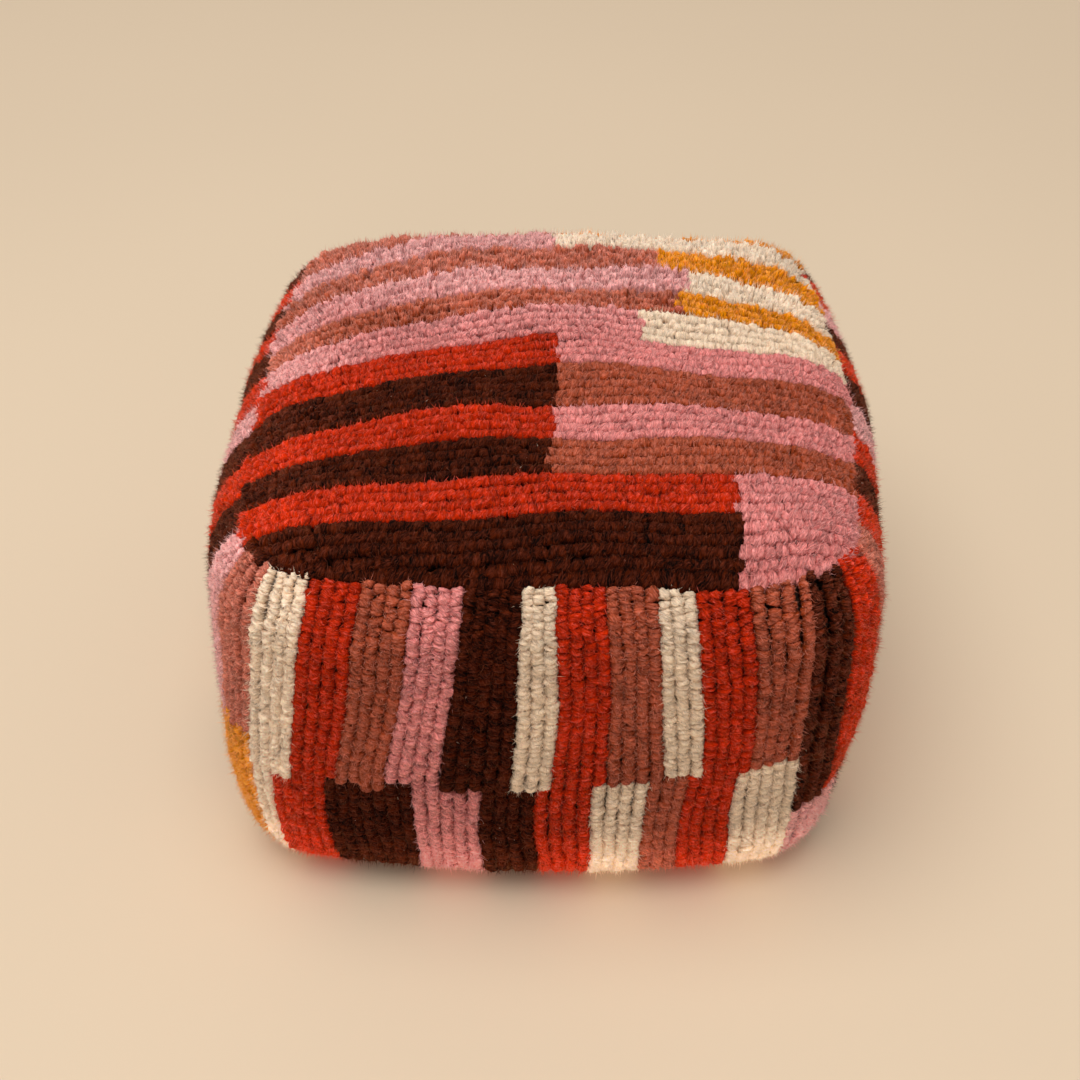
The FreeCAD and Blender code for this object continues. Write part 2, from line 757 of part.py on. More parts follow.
def slider():
    """Two plates joined by the wedge that parts the teeth, with guide flanges and lugs for the pull."""
    corner = size["slider_width"] / 4
    low_blank = box("slider_low_blank", SLIDER_X, SLIDER_Y, (LOW_BOTTOM, LOW_TOP))
    low = eased("slider_low_plate", low_blank, corner)
    high_blank = box("slider_high_blank", SLIDER_X, SLIDER_Y, (HIGH_BOTTOM, f"{HIGH_BOTTOM} + slider_plate"))
    high = eased("slider_high_plate", high_blank, corner)
    wedge_end = "zip_finish - slider_clearance"
    wedge = box("slider_wedge", (f"{wedge_end} - wedge_length", wedge_end),
                ("zip_offset - wedge_width / 2", "zip_offset + wedge_width / 2"), (LOW_TOP, HIGH_BOTTOM))
    pieces = [low, high, wedge]
    guide_x = ("zip_finish - slider_length + slider_width / 4", "zip_finish - slider_width / 4")
    for side in (-1, 1):
        guide_y = across_zip(side, f"{SLIDER_HALF} - slider_flange", SLIDER_HALF)
        low_z = (LOW_TOP, "trough_depth - slider_clearance")
        high_z = ("trough_depth + tape_thickness + slider_clearance", HIGH_BOTTOM)
        pieces.append(box(f"slider_low_guide_{side + 2}", guide_x, guide_y, low_z))
        pieces.append(box(f"slider_high_guide_{side + 2}", guide_x, guide_y, high_z))
        lug_y = across_zip(side, "lug_gap / 2", LUG_FAR)
        lug_x = (f"{PIN_X} - lug_length / 2", f"{PIN_X} + lug_length / 2")
        lug = box(f"slider_lug_{side + 2}", lug_x, lug_y, ("pin_height - lug_length / 3", LOW_BOTTOM))
        bore = rod_along_y(f"slider_lug_bore_{side + 2}", "pin_radius", PIN_X, lug_y, "pin_height")
        pieces.append(cut(f"slider_bored_lug_{side + 2}", lug, bore))
    return node(fuse("zip_slider", *pieces))


def pull_tab():
    """Flat tab with an eye that turns on the pin and a long slot."""
    half_neck, half_tab, half_thick = "pull_neck_width / 2", "pull_width / 2", "pull_thickness / 2"
    neck_end = f"{PIN_X} - lug_length"
    tab_end = f"{PIN_X} - pull_length"
    flat = (f"pin_height - {half_thick}", f"pin_height + {half_thick}")
    eye_y = (f"zip_offset - {half_neck}", f"zip_offset + {half_neck}")
    eye = rod_along_y("pull_eye", "pull_eye_radius", PIN_X, eye_y, "pin_height")
    neck = box("pull_neck", (neck_end, PIN_X), eye_y, flat)
    tab_y = (f"zip_offset - {half_tab}", f"zip_offset + {half_tab}")
    tab = eased("pull_plate", box("pull_blank", (tab_end, neck_end), tab_y, flat), size["pull_width"] / 4)
    slot_x = (f"{tab_end} + pull_width / 3", f"{neck_end} - pull_width / 3")
    slot_y = ("zip_offset - pull_width / 5", "zip_offset + pull_width / 5")
    slot = eased("pull_slot", box("pull_slot_blank", slot_x, slot_y, flat), size["pull_width"] / 5.5)
    bore = rod_along_y("pull_bore", "pin_radius + pin_fit", PIN_X, eye_y, "pin_height")
    solid = fuse("pull_solid", eye, neck, tab)
    return node(cut("zip_pull", cut("pull_slotted", solid, slot), bore))


slider()
pin_y = (f"zip_offset - ({LUG_FAR})", f"zip_offset + {LUG_FAR}")
node(rod_along_y("zip_pull_pin", "pin_radius", PIN_X, pin_y, "pin_height"))
pull_tab()


# Seam threads, laid inside the seams

def thread_ring(inset, z):
    """Thread round the whole pouf, a small oblong in section."""
    half, thick = size["thread_width"] / 2, size["thread_thickness"]
    return ring([(inset, z - half), (inset, z + half), (inset + thick, z + half), (inset + thick, z - half)])


inset, z = hidden_profile(PILE + GROUND)[0]
node(feature("top_seam_thread", thread_ring(inset, z)))
rim_inset = BASE_INSET + size["canvas_clearance"] + size["canvas_thickness"]
node(feature("base_seam_thread", thread_ring(rim_inset, CANVAS_RIM - size["thread_width"])))

thread_outside = hidden_profile(PILE + GROUND)[1:-1]
thread_inside = hidden_profile(PILE + GROUND + size["thread_thickness"])[1:-1]
thread_layer = feature("thread_layer", ring(thread_outside + thread_inside[::-1]))


def corner_thread(index, corner):
    """Thread down one corner seam, cut from a layer on the inside of the woven ground."""
    name = f"corner_seam_thread_{index + 1}"
    half = size["thread_width"] / 2
    blank = Part.makeBox(size["corner_radius"], half * 2, size["overall_height"], V(0, -half, 0))
    blank.rotate(V(0, 0, 0), Z_AXIS, seam_heading(corner))
    blank.translate(corner_centre(*corner))
    return common(name, thread_layer, feature(f"{name}_bounds", blank))


node(group("corner_seam_threads", [corner_thread(*numbered) for numbered in enumerate(CORNERS)]))


# Inner bag and its filling

def cushion(skin):
    """Inner cushion's solid, a skin's thickness inside the bag, standing on the canvas."""
    depth = PILE + GROUND + size["bag_clearance"] + skin
    floor = size["canvas_thickness"] + skin
    foot = BASE_INSET + size["base_corner_radius"] * 0.75 + skin
    over_rim = BASE_INSET + size["canvas_thickness"] * 2 + size["thread_thickness"] * 3 + skin
    points = [(foot, floor), (over_rim, CANVAS_RIM + skin),
              on_edge("base", base_angle(depth) * 0.6, depth),
              on_edge("base", tangent_angle("base"), depth), (depth, size["bulge_height"]),
              on_edge("top", tangent_angle("top"), depth), on_edge("top", SEAM, depth)]
    crowned = crown(depth, [1.0] + HIDDEN_CROWN_SCALES, hidden_outline)
    return stack([hidden_outline(*point) for point in points] + crowned)


def channel(name, skin):
    """Room over the tapes of the zip, where the slider runs."""
    spare = f"bag_channel_clearance + {skin}"
    reach = f"trough_half + tape_lap + {spare}"
    across = (f"zip_offset - ({reach})", f"zip_offset + {reach}")
    return box(name, WIDE, across, ("0", f"{HIGH_BOTTOM} + slider_plate + {spare}"))


bag_outside = cut("bag_outside", feature("bag_blank", cushion(0.0)), channel("bag_channel", "0"))
filling = cut("filling", feature("filling_blank", cushion(size["bag_thickness"])),
              channel("filling_channel", "bag_thickness"))
node(cut("inner_bag", bag_outside, filling))
node(filling)


# Check every object, then write each sub-part to a file of its own

def check_and_write():
    doc.recompute()
    for thing in doc.Objects:
        if "Invalid" in thing.State or "Error" in thing.State:
            raise RuntimeError(f"{thing.Label} failed to build: {thing.State}")
    for thing in nodes:
        if thing.Shape.isNull() or not thing.Shape.isValid() or not thing.Shape.Solids:
            raise RuntimeError(f"{thing.Label} has no valid solid")
    os.makedirs("parts", exist_ok=True)
    for thing in nodes:
        thing.Shape.exportStep(f"parts/{thing.Label}.step")
        print(thing.Label, len(thing.Shape.Solids), "solids", round(thing.Shape.Volume), "cubic mm")


check_and_write()
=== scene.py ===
"""Tufted wool pouf: pile, cloths, threads, zip finish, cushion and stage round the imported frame."""
import math

import bpy
import numpy as np
from mathutils import Matrix, Vector


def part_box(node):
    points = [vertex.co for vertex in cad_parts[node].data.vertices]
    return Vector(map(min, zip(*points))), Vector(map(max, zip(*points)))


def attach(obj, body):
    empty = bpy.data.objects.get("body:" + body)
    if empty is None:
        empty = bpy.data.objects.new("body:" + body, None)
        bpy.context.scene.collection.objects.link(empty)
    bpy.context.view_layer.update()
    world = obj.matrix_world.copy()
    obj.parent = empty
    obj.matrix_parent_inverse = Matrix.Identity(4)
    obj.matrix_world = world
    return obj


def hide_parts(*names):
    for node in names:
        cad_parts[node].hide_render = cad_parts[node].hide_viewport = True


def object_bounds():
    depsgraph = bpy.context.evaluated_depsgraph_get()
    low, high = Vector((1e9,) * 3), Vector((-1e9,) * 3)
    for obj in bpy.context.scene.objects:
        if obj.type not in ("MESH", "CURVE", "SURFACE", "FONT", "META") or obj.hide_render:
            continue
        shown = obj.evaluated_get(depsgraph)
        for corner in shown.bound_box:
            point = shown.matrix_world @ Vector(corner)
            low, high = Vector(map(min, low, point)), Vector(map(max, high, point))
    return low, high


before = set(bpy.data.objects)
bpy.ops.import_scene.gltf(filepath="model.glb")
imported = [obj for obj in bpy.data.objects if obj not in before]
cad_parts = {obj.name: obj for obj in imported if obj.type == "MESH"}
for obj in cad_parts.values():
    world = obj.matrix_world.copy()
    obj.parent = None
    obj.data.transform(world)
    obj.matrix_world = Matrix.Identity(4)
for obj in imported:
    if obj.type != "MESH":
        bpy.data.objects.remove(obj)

bl_info = {
    "name": "Tufted pouf",
    "version": (1, 0, 0),
    "blender": (4, 5, 0),
    "location": "3D View > Sidebar > Pouf",
    "description": "Builds the wool pile, cloths, zip finish and stage of a tufted floor pouf",
    "category": "Object",
}

CAD_LOW, CAD_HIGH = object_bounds()
HALF = CAD_HIGH.x

# Stuffed form over the tips of the pile, in metres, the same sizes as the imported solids
BULGE_RADIUS = 1.25
BULGE_HEIGHT = 0.19
CORNER_RADIUS = 0.092
BASE_EDGE = 0.068
TOP_EDGE = 0.08
CROWN_RISE = 0.012
RIM_HEIGHT = CAD_HIGH.z - CROWN_RISE
SIDE_TOP_ANGLE = math.radians(48)
TOP_SEAM_ANGLE = math.radians(50)
TOP_TIP_ANGLE = math.radians(52)
CORNER_GAP = 0.002
RIM_ANGLE = math.pi / 2 - math.atan(2 * CROWN_RISE / HALF)

# Circles that round the top and base edges, as inset from the outline and height
TOP_Z = RIM_HEIGHT - TOP_EDGE * math.sin(RIM_ANGLE)
TOP_T = BULGE_RADIUS - math.sqrt((BULGE_RADIUS - TOP_EDGE) ** 2 - (TOP_Z - BULGE_HEIGHT) ** 2)
BASE_Z = BASE_EDGE
BASE_T = BULGE_RADIUS - math.sqrt((BULGE_RADIUS - BASE_EDGE) ** 2 - (BASE_Z - BULGE_HEIGHT) ** 2)
TOP_TANGENT = math.asin((TOP_Z - BULGE_HEIGHT) / (BULGE_RADIUS - TOP_EDGE))
BASE_TANGENT = math.asin((BASE_Z - BULGE_HEIGHT) / (BULGE_RADIUS - BASE_EDGE))
BASE_END = -math.acos((BASE_T - BASE_EDGE) / BASE_EDGE)
RIM_INSET = TOP_T - TOP_EDGE * math.cos(RIM_ANGLE)
TOP_INSET = TOP_T - TOP_EDGE * math.cos(TOP_TIP_ANGLE)

# Plan outline: four long side arcs and four corner arcs
SIDE_CENTRE = BULGE_RADIUS - HALF
CORNER_SPAN = BULGE_RADIUS - CORNER_RADIUS
CORNER_AT = (-SIDE_CENTRE + math.sqrt(2 * CORNER_SPAN ** 2 - SIDE_CENTRE ** 2)) / 2
SIDE_HALF = math.atan2(CORNER_AT, CORNER_AT + SIDE_CENTRE)
CORNERS = [(1, -1), (1, 1), (-1, 1), (-1, -1)]
SIDES = [(1, 0), (0, 1), (-1, 0), (0, -1)]

# Headings of the four corner seams, round from the front right
SEAMS = [math.radians(a) for a in (-72, 63, 117, 235)]

# Stripes of the top from front to back: colour on the left, where it ends in tufts right of
# the middle, and the colour that goes on from there
TOP_STRIPES = [
    ("brown", 15, "pink"), ("red", 15, "pink"), ("brown", 0, "rose"), ("red", 0, "pink"),
    ("brown", 0, "rose"), ("red", 0, "pink"), ("pink", 8, "cream"), ("rose", 12, "ochre"),
    ("pink", 13, "cream"), ("rose", 10, "ochre"), ("pink", 0, "cream"), ("rose", 0, "ochre"),
]
TOP_TUFT = 0.0093
STRIPE_ROWS = 4
FIRST_STRIPE = 0.094
STRIPE_REACH = 0.22
STRIPE_SLANT = 0.0125
STRIPE_ARCH = 0.029
STRIPE_FAN = 0.031
# The stripes behind the middle lie a little further back than even ones would
STRIPE_SHIFT = 0.010
SHIFT_AT = 0.022
SHIFT_SPREAD = 0.07

# Stripes of each side panel as colour and columns, left to right as one stands before it
SIDE_STRIPES = {
    "front": (
        [("cream", 4), ("red", 4), ("rose", 4), ("pink", 4), ("brown", 5), ("cream", 3),
         ("red", 4), ("rose", 4), ("cream", 3), ("red", 4), ("rose", 4)],
        [("cream", 2), ("red", 5), ("brown", 7), ("pink", 5), ("brown", 4), ("red", 4),
         ("cream", 4), ("rose", 3), ("red", 4), ("cream", 5)]),
    "right": (
        [("brown", 3), ("red", 4), ("rose", 4), ("red", 4), ("brown", 4), ("red", 4),
         ("pink", 4), ("brown", 4), ("red", 4), ("brown", 4), ("pink", 4), ("red", 4),
         ("brown", 5), ("rose", 4)],
        [("pink", 6), ("brown", 5), ("red", 5), ("cream", 4), ("rose", 5), ("red", 5),
         ("brown", 5), ("pink", 4), ("cream", 4), ("brown", 7), ("red", 6)]),
    "back": (
        [("red", 4), ("pink", 4), ("brown", 4), ("cream", 3), ("rose", 4), ("red", 4),
         ("pink", 4), ("brown", 5), ("cream", 3), ("red", 4), ("rose", 4)],
        [("pink", 6), ("brown", 5), ("cream", 4), ("red", 5), ("rose", 4), ("pink", 4),
         ("brown", 6), ("cream", 4), ("red", 5)]),
    "left": (
        [("rose", 3), ("pink", 3), ("brown", 4), ("red", 4), ("brown", 4), ("red", 4),
         ("brown", 4), ("red", 4), ("pink", 4), ("brown", 4), ("red", 4), ("brown", 4),
         ("pink", 4), ("rose", 4)],
        [("red", 6), ("ochre", 4), ("brown", 5), ("rose", 4), ("red", 5), ("cream", 4),
         ("pink", 5), ("brown", 6), ("red", 5), ("cream", 4), ("ochre", 6)]),
}
PANELS = ["front", "right", "back", "left"]
WOOLS = ["red", "brown", "pink", "rose", "cream", "ochre"]
BAND_HEIGHT = 0.163
BAND_SLOPE = 0.03
# The band on the right drops near the front corner, over the first of these columns
RIGHT_DROP = 0.045
RIGHT_FALL = (6, 14)


# Settings that a user would change

def length_setting(name, description, default, low, high):
    """Setting for a length in metres."""
    return bpy.props.FloatProperty(name=name, description=description, default=default, min=low, max=high,
                                   unit="LENGTH")


def colour_setting(name, description, default):
    """Setting for a colour."""
    return bpy.props.FloatVectorProperty(name=name, description=description, default=default, min=0, max=1,
                                         subtype="COLOR")


def level_setting(name, description, default):
    """Setting for the level of an even light."""
    return bpy.props.FloatProperty(name=name, description=description, default=default, min=0, max=2)


def power_setting(name, description, default):
    """Setting for the power of a lamp."""
    return bpy.props.FloatProperty(name=name, description=description, default=default, min=0, unit="POWER")


class PoufPileSettings(bpy.types.PropertyGroup):
    """Sizes of the wool tufts"""
    pile_height: length_setting(
        "Pile height", "Length of a tuft from the ground cloth to its tip", 0.018, 0.008, 0.03)
    row_pitch: length_setting("Row pitch", "Distance between rows of tufts on the top", 0.0105, 0.006, 0.02)
    top_pitch: length_setting(
        "Tuft pitch on top", "Distance between tufts along a row of the top", 0.0062, 0.003, 0.02)
    side_pitch: length_setting(
        "Tuft pitch on sides", "Distance between tufts down a column", 0.0048, 0.003, 0.02)
    ply_pitch: length_setting("Ply width", "Width of one ply of the yarn", 0.0033, 0.001, 0.01)
    ply_depth: length_setting("Ply groove", "Depth of the groove between two plies", 0.0007, 0.0, 0.002)
    fuzz_length: length_setting("Loose fibre length", "Usual length of a loose fibre", 0.0058, 0.001, 0.01)
    fuzz_count: bpy.props.IntProperty(
        name="Loose fibres", description="Loose fibres that stand out of each tuft",
        default=15, min=0, max=24)
    seed: bpy.props.IntProperty(
        name="Seed", description="Start of the random draws, so every build is the same",
        default=11, min=0)


class PoufColourSettings(bpy.types.PropertyGroup):
    """Colours of the wools, cloths and metal"""
    red: colour_setting("Red wool", "Colour of the red yarn", (0.54, 0.038, 0.016))
    brown: colour_setting("Brown wool", "Colour of the dark brown yarn", (0.056, 0.0098, 0.0038))
    pink: colour_setting("Pink wool", "Colour of the pink yarn", (0.75, 0.258, 0.246))
    rose: colour_setting("Rose wool", "Colour of the dusty rose yarn", (0.41, 0.097, 0.054))
    cream: colour_setting("Cream wool", "Colour of the undyed yarn", (0.92, 0.71, 0.53))
    ochre: colour_setting("Ochre wool", "Colour of the ochre yarn", (0.74, 0.27, 0.042))
    ground: colour_setting("Ground cloth", "Colour of the woven ground under the pile", (0.1, 0.055, 0.035))
    thread: colour_setting("Seam thread", "Colour of the sewing thread", (0.12, 0.06, 0.045))
    canvas: colour_setting("Base canvas", "Colour of the canvas under the pouf", (0.42, 0.31, 0.21))
    tape: colour_setting("Zip tape", "Colour of the zip's woven tape", (0.16, 0.1, 0.07))
    brass: colour_setting("Zip brass", "Colour of the zip's metal", (0.55, 0.4, 0.19))
    bag: colour_setting("Bag cotton", "Colour of the inner bag", (0.78, 0.75, 0.68))
    filling: colour_setting("Filling", "Colour of the loose fibre", (0.85, 0.83, 0.78))


class PoufStageSettings(bpy.types.PropertyGroup):
    """Floor and light"""
    floor: colour_setting("Floor", "Colour of the floor", (0.745, 0.615, 0.465))
    backdrop: colour_setting("Backdrop", "Colour seen past the end of the floor", (0.66, 0.54, 0.4))
    key_power: power_setting("Key light", "Power of the large soft lamp above", 190.0)
    front_power: power_setting("Front light", "Power of the low lamp in front", 8.0)
    sky_level: level_setting("Fill light", "Level of the even light from all round", 0.44)
    base_level: level_setting("Base light", "Level of the light from below, which reaches the base", 0.7)


# Forms shared by the pieces

def corner_inset(x, y):
    """Distance in from the plan outline at points of the plan."""
    inset = np.full(np.shape(x), 9.0)
    for sx, sy in SIDES:
        reach = np.hypot(x + sx * SIDE_CENTRE, y + sy * SIDE_CENTRE)
        inset = np.minimum(inset, BULGE_RADIUS - reach)
    for sx, sy in CORNERS:
        dx, dy = x * sx - CORNER_AT, y * sy - CORNER_AT
        heading = np.arctan2(dy, dx)
        inside = (heading > SIDE_HALF) & (heading < math.pi / 2 - SIDE_HALF)
        inset = np.where(inside, CORNER_RADIUS - np.hypot(dx, dy), inset)
    return inset


def top_height(x, y):
    """Height of the tips of the top pile at points of the plan."""
    inset = corner_inset(x, y)
    bend = np.clip((TOP_T - inset) / TOP_EDGE, -1, 1)
    rim = TOP_Z + TOP_EDGE * np.sqrt(1 - bend ** 2)
    reach = HALF - RIM_INSET
    scale = (np.abs(x / reach) ** 6 + np.abs(y / reach) ** 6) ** (1 / 6)
    crown = RIM_HEIGHT + CROWN_RISE * (1 - np.minimum(scale, 1) ** 2)
    return np.where(inset < RIM_INSET, rim, crown)


def top_normal(x, y):
    """Upward unit vectors of the top at points of the plan."""
    step = 0.002
    dx = (top_height(x + step, y) - top_height(x - step, y)) / (2 * step)
    dy = (top_height(x, y + step) - top_height(x, y - step)) / (2 * step)
    return unit(np.stack([-dx, -dy, np.ones_like(dx)], -1))


def unit(v):
    """Vectors scaled to length one."""
    return v / np.maximum(np.linalg.norm(v, axis=-1, keepdims=True), 1e-12)


def side_runs(panel):
    """Arcs of one side panel's path, each as centre, radius, first and last heading."""
    turn = CORNER_GAP / CORNER_RADIUS
    k = PANELS.index(panel)
    before, after = (k + 3) % 4, k
    start, stop = SEAMS[before] + turn, SEAMS[after] - turn
    square = math.pi / 2 * (k - 1)
    if start > stop + math.pi:
        start -= 2 * math.pi
    if stop < start:
        stop += 2 * math.pi
    if start > square + math.pi:
        start, stop = start - 2 * math.pi, stop - 2 * math.pi
    if start < square - math.pi:
        start, stop = start + 2 * math.pi, stop + 2 * math.pi
    corner = lambda i: np.array(CORNERS[i]) * CORNER_AT
    side = -SIDE_CENTRE * np.array([math.cos(square), math.sin(square)])
    return [
        (corner(before), CORNER_RADIUS, start, square - SIDE_HALF),
        (side, BULGE_RADIUS, square - SIDE_HALF, square + SIDE_HALF),
        (corner(after), CORNER_RADIUS, square + SIDE_HALF, stop),
    ]


def path_length(runs):
    """Length of a side panel's path at the tips."""
    return sum(radius * (last - first) for _, radius, first, last in runs)


def on_path(runs, s):
    """Arc centre, radius and outward direction at lengths along a side panel's path."""
    lengths = np.array([radius * (last - first) for _, radius, first, last in runs])
    ends = np.cumsum(lengths)
    which = np.clip(np.searchsorted(ends, s), 0, len(runs) - 1)
    centre = np.array([run[0] for run in runs])[which]
    radius = np.array([run[1] for run in runs])[which]
    first = np.array([run[2] for run in runs])[which]
    heading = first + (s - (ends - lengths)[which]) / radius
    return centre, radius, np.stack([np.cos(heading), np.sin(heading)], -1)


TOP_ARC = TOP_EDGE * (SIDE_TOP_ANGLE - TOP_TANGENT)
BULGE_ARC = BULGE_RADIUS * (TOP_TANGENT - BASE_TANGENT)
BASE_ARC = BASE_EDGE * (BASE_TANGENT - BASE_END)
SIDE_DROP = TOP_ARC + BULGE_ARC + BASE_ARC


def on_profile(q):
    """Inset, height and tilt of the side's tips at lengths down from the top seam."""
    top = SIDE_TOP_ANGLE - q / TOP_EDGE
    bulge = TOP_TANGENT - (q - TOP_ARC) / BULGE_RADIUS
    base = BASE_TANGENT - (q - TOP_ARC - BULGE_ARC) / BASE_EDGE
    in_top, in_base = q < TOP_ARC, q > TOP_ARC + BULGE_ARC
    tilt = np.where(in_top, top, np.where(in_base, base, bulge))
    radius = np.where(in_top, TOP_EDGE, np.where(in_base, BASE_EDGE, BULGE_RADIUS))
    t = np.where(in_top, TOP_T, np.where(in_base, BASE_T, BULGE_RADIUS))
    z = np.where(in_top, TOP_Z, np.where(in_base, BASE_Z, BULGE_HEIGHT))
    return t - radius * np.cos(tilt), z + radius * np.sin(tilt), tilt


def on_side(runs, s, q, depth=0.0):
    """Points, outward vectors and downward vectors of a side at path and profile lengths."""
    centre, radius, out = on_path(runs, s)
    inset, z, tilt = on_profile(q)
    reach = radius - inset
    c, n = np.cos(tilt), np.sin(tilt)
    tip = np.stack([centre[..., 0] + reach * out[..., 0], centre[..., 1] + reach * out[..., 1], z], -1)
    normal = np.stack([c * out[..., 0], c * out[..., 1], n], -1)
    down = np.stack([n * out[..., 0], n * out[..., 1], -c], -1)
    return tip - normal * np.asarray(depth)[..., None], normal, down


LEAN = 0.0514
LEAN_FROM = 0.1
# Heights over which the lumps of the stuffing grow to their full size
LUMPS_FROM = 0.03
LUMPS_TO = 0.15


def ease(value, low, high):
    """Smooth rise from 0 at low to 1 at high."""
    share = np.clip((value - low) / (high - low), 0, 1)
    return share * share * (3 - 2 * share)


def soft_shift(points):
    """Points moved by the small lumps and the slight lean of a stuffed cover."""
    x, y, z = points[..., 0], points[..., 1], points[..., 2]
    rise = ease(z, LUMPS_FROM, LUMPS_TO)
    moved = points.copy()
    moved[..., 0] += LEAN * np.maximum(z - LEAN_FROM, 0)
    moved[..., 0] += rise * (0.0016 * np.sin(21 * z + 17 * y + 0.7) + 0.0012 * np.sin(33 * y + 1.9))
    moved[..., 1] += rise * (0.0018 * np.sin(19 * z + 23 * x + 2.1) + 0.0012 * np.sin(31 * x + 0.4))
    moved[..., 2] += rise * (0.0022 * np.sin(27 * x + 1.1) * np.sin(24 * y + 0.6)
                             + 0.0012 * np.sin(41 * x + 29 * y))
    return moved


# Meshes

def new_mesh(name, points, corners, counts, smooth=True):
    """Mesh from arrays of points, face corners and corners per face."""
    mesh = bpy.data.meshes.new(name)
    mesh.vertices.add(len(points))
    mesh.vertices.foreach_set("co", np.asarray(points, np.float32).ravel())
    mesh.loops.add(len(corners))
    mesh.loops.foreach_set("vertex_index", np.asarray(corners, np.int32))
    mesh.polygons.add(len(counts))
    starts = np.concatenate([[0], np.cumsum(counts)[:-1]])
    mesh.polygons.foreach_set("loop_start", np.asarray(starts, np.int32))
    mesh.polygons.foreach_set("use_smooth", np.full(len(counts), smooth))
    mesh.update(calc_edges=True)
    return mesh


def face_mesh(name, points, faces):
    """Mesh from points and a list of faces."""
    return new_mesh(name, points, [v for face in faces for v in face], [len(face) for face in faces])


def add_floats(mesh, name, values):
    """Number attribute on the points of a mesh."""
    mesh.attributes.new(name, "FLOAT", "POINT").data.foreach_set(
        "value", np.asarray(values, np.float32).ravel())


def add_vectors(mesh, name, values):
    """Vector attribute on the points of a mesh."""
    mesh.attributes.new(name, "FLOAT_VECTOR", "POINT").data.foreach_set(
        "vector", np.asarray(values, np.float32).ravel())


def add_uv(mesh, values):
    """Texture map of a mesh, one place per face corner."""
    layer = mesh.uv_layers.new(name="OFBake")
    layer.data.foreach_set("uv", np.asarray(values, np.float32).ravel())


def place_piece(mesh, material, nodes=(), body="pouf"):
    """Object of a mesh that rides on a body and may stand for CAD nodes."""
    piece = bpy.data.objects.new(mesh.name, mesh)
    bpy.context.scene.collection.objects.link(piece)
    mesh.materials.append(material)
    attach(piece, body)
    if nodes:
        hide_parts(*nodes)
    return piece


# Wool tufts

TUFT_ACROSS = 5
TUFT_ALONG = 7
FUZZ_THICK = 0.0003
RAGGED = 0.0011
# Tint of the lightest tufts, and of the pale stray fibres among them
MOST_TINT = 0.95
STRAY_TINT = 1.0
STRAY_SHARE = 0.004
STRAY_LENGTH = 0.0035
# Fluff of the sides other than the front, which fades them a little and lightens them as painted light
SIDE_FLUFF_AND_PAINTED_LIGHT = 0.9
LOWEST = 0.0003
# Roughness of the yarn's surface, how fast the painted shade deepens towards the root, and how deep upright
# fibres start
YARN_ROUGH = 0.00034
SUNK_RATE = 3.2
FUZZ_ROOT = 0.0016
# What all tufts share: rim, sway, and how height, width and length vary
TUFT_RIM = 0.2
TUFT_SWAY = 0.16
HEIGHT_VARIES = 0.035
WIDTH_VARIES = (0.94, 1.1)
LENGTH_VARIES = (0.95, 1.15)
# Most tufts that a column or row may have, the rows of the top, and how far a row wanders
MOST_IN_COLUMN = 120
MOST_IN_ROW = 150
TOP_ROWS = range(-12, 48)
WANDER = 0.0011
# How unevenly stripes and columns end at the band, and the least width of a column's tufts
STRIPE_END_VARIES = 0.004
COLUMN_END_VARIES = 0.0016
LEAST_COLUMN = 0.0072
# The top's own edge: pitch of its tufts in those of a row, how far in they stand, how far the
# rows keep off, and the gaps that the edge's tufts close
EDGE_PITCH = 1.1
EDGE_IN = 0.0025
EDGE_CLEAR = 0.006
EDGE_GAP = 0.0075
EDGE_PULL = 0.008


def tuft_template():
    """One tuft as unit places, which of them are at the root, its faces and texture places."""
    a, b = np.meshgrid(np.linspace(-1, 1, TUFT_ACROSS), np.linspace(-1, 1, TUFT_ALONG))
    a, b = a.ravel(), b.ravel()
    round_a, round_b = a * np.sqrt(1 - b * b / 2), b * np.sqrt(1 - a * a / 2)
    flat_a, flat_b = 0.7 * a + 0.3 * round_a, 0.7 * b + 0.3 * round_b
    dome = np.maximum(1 - np.abs(a) ** 2.6 - 0.6 * np.abs(b) ** 2.4, 0)
    at = lambda i, j: j * TUFT_ACROSS + i
    faces = [[at(i, j), at(i + 1, j), at(i + 1, j + 1), at(i, j + 1)]
             for j in range(TUFT_ALONG - 1) for i in range(TUFT_ACROSS - 1)]
    edge = ([at(i, 0) for i in range(TUFT_ACROSS - 1)]
            + [at(TUFT_ACROSS - 1, j) for j in range(TUFT_ALONG - 1)]
            + [at(i, TUFT_ALONG - 1) for i in range(TUFT_ACROSS - 1, 0, -1)]
            + [at(0, j) for j in range(TUFT_ALONG - 1, 0, -1)])
    spots = 0.37 * np.stack([a, b], -1)
    texture = [spots[v] for face in faces for v in face]
    for k, n in zip(edge, edge[1:] + edge[:1]):
        faces.append([len(a), n, k])
        texture += [0.64 * (spots[k] + spots[n]), spots[n], spots[k]]
    places = np.stack([np.append(flat_a, 0), np.append(flat_b, 0), np.append(dome, 0)], -1)
    at_root = np.append(np.zeros(len(a)), 1)
    corners = np.array([v for face in faces for v in face])
    return places, at_root, corners, np.array([len(face) for face in faces]), np.array(texture)


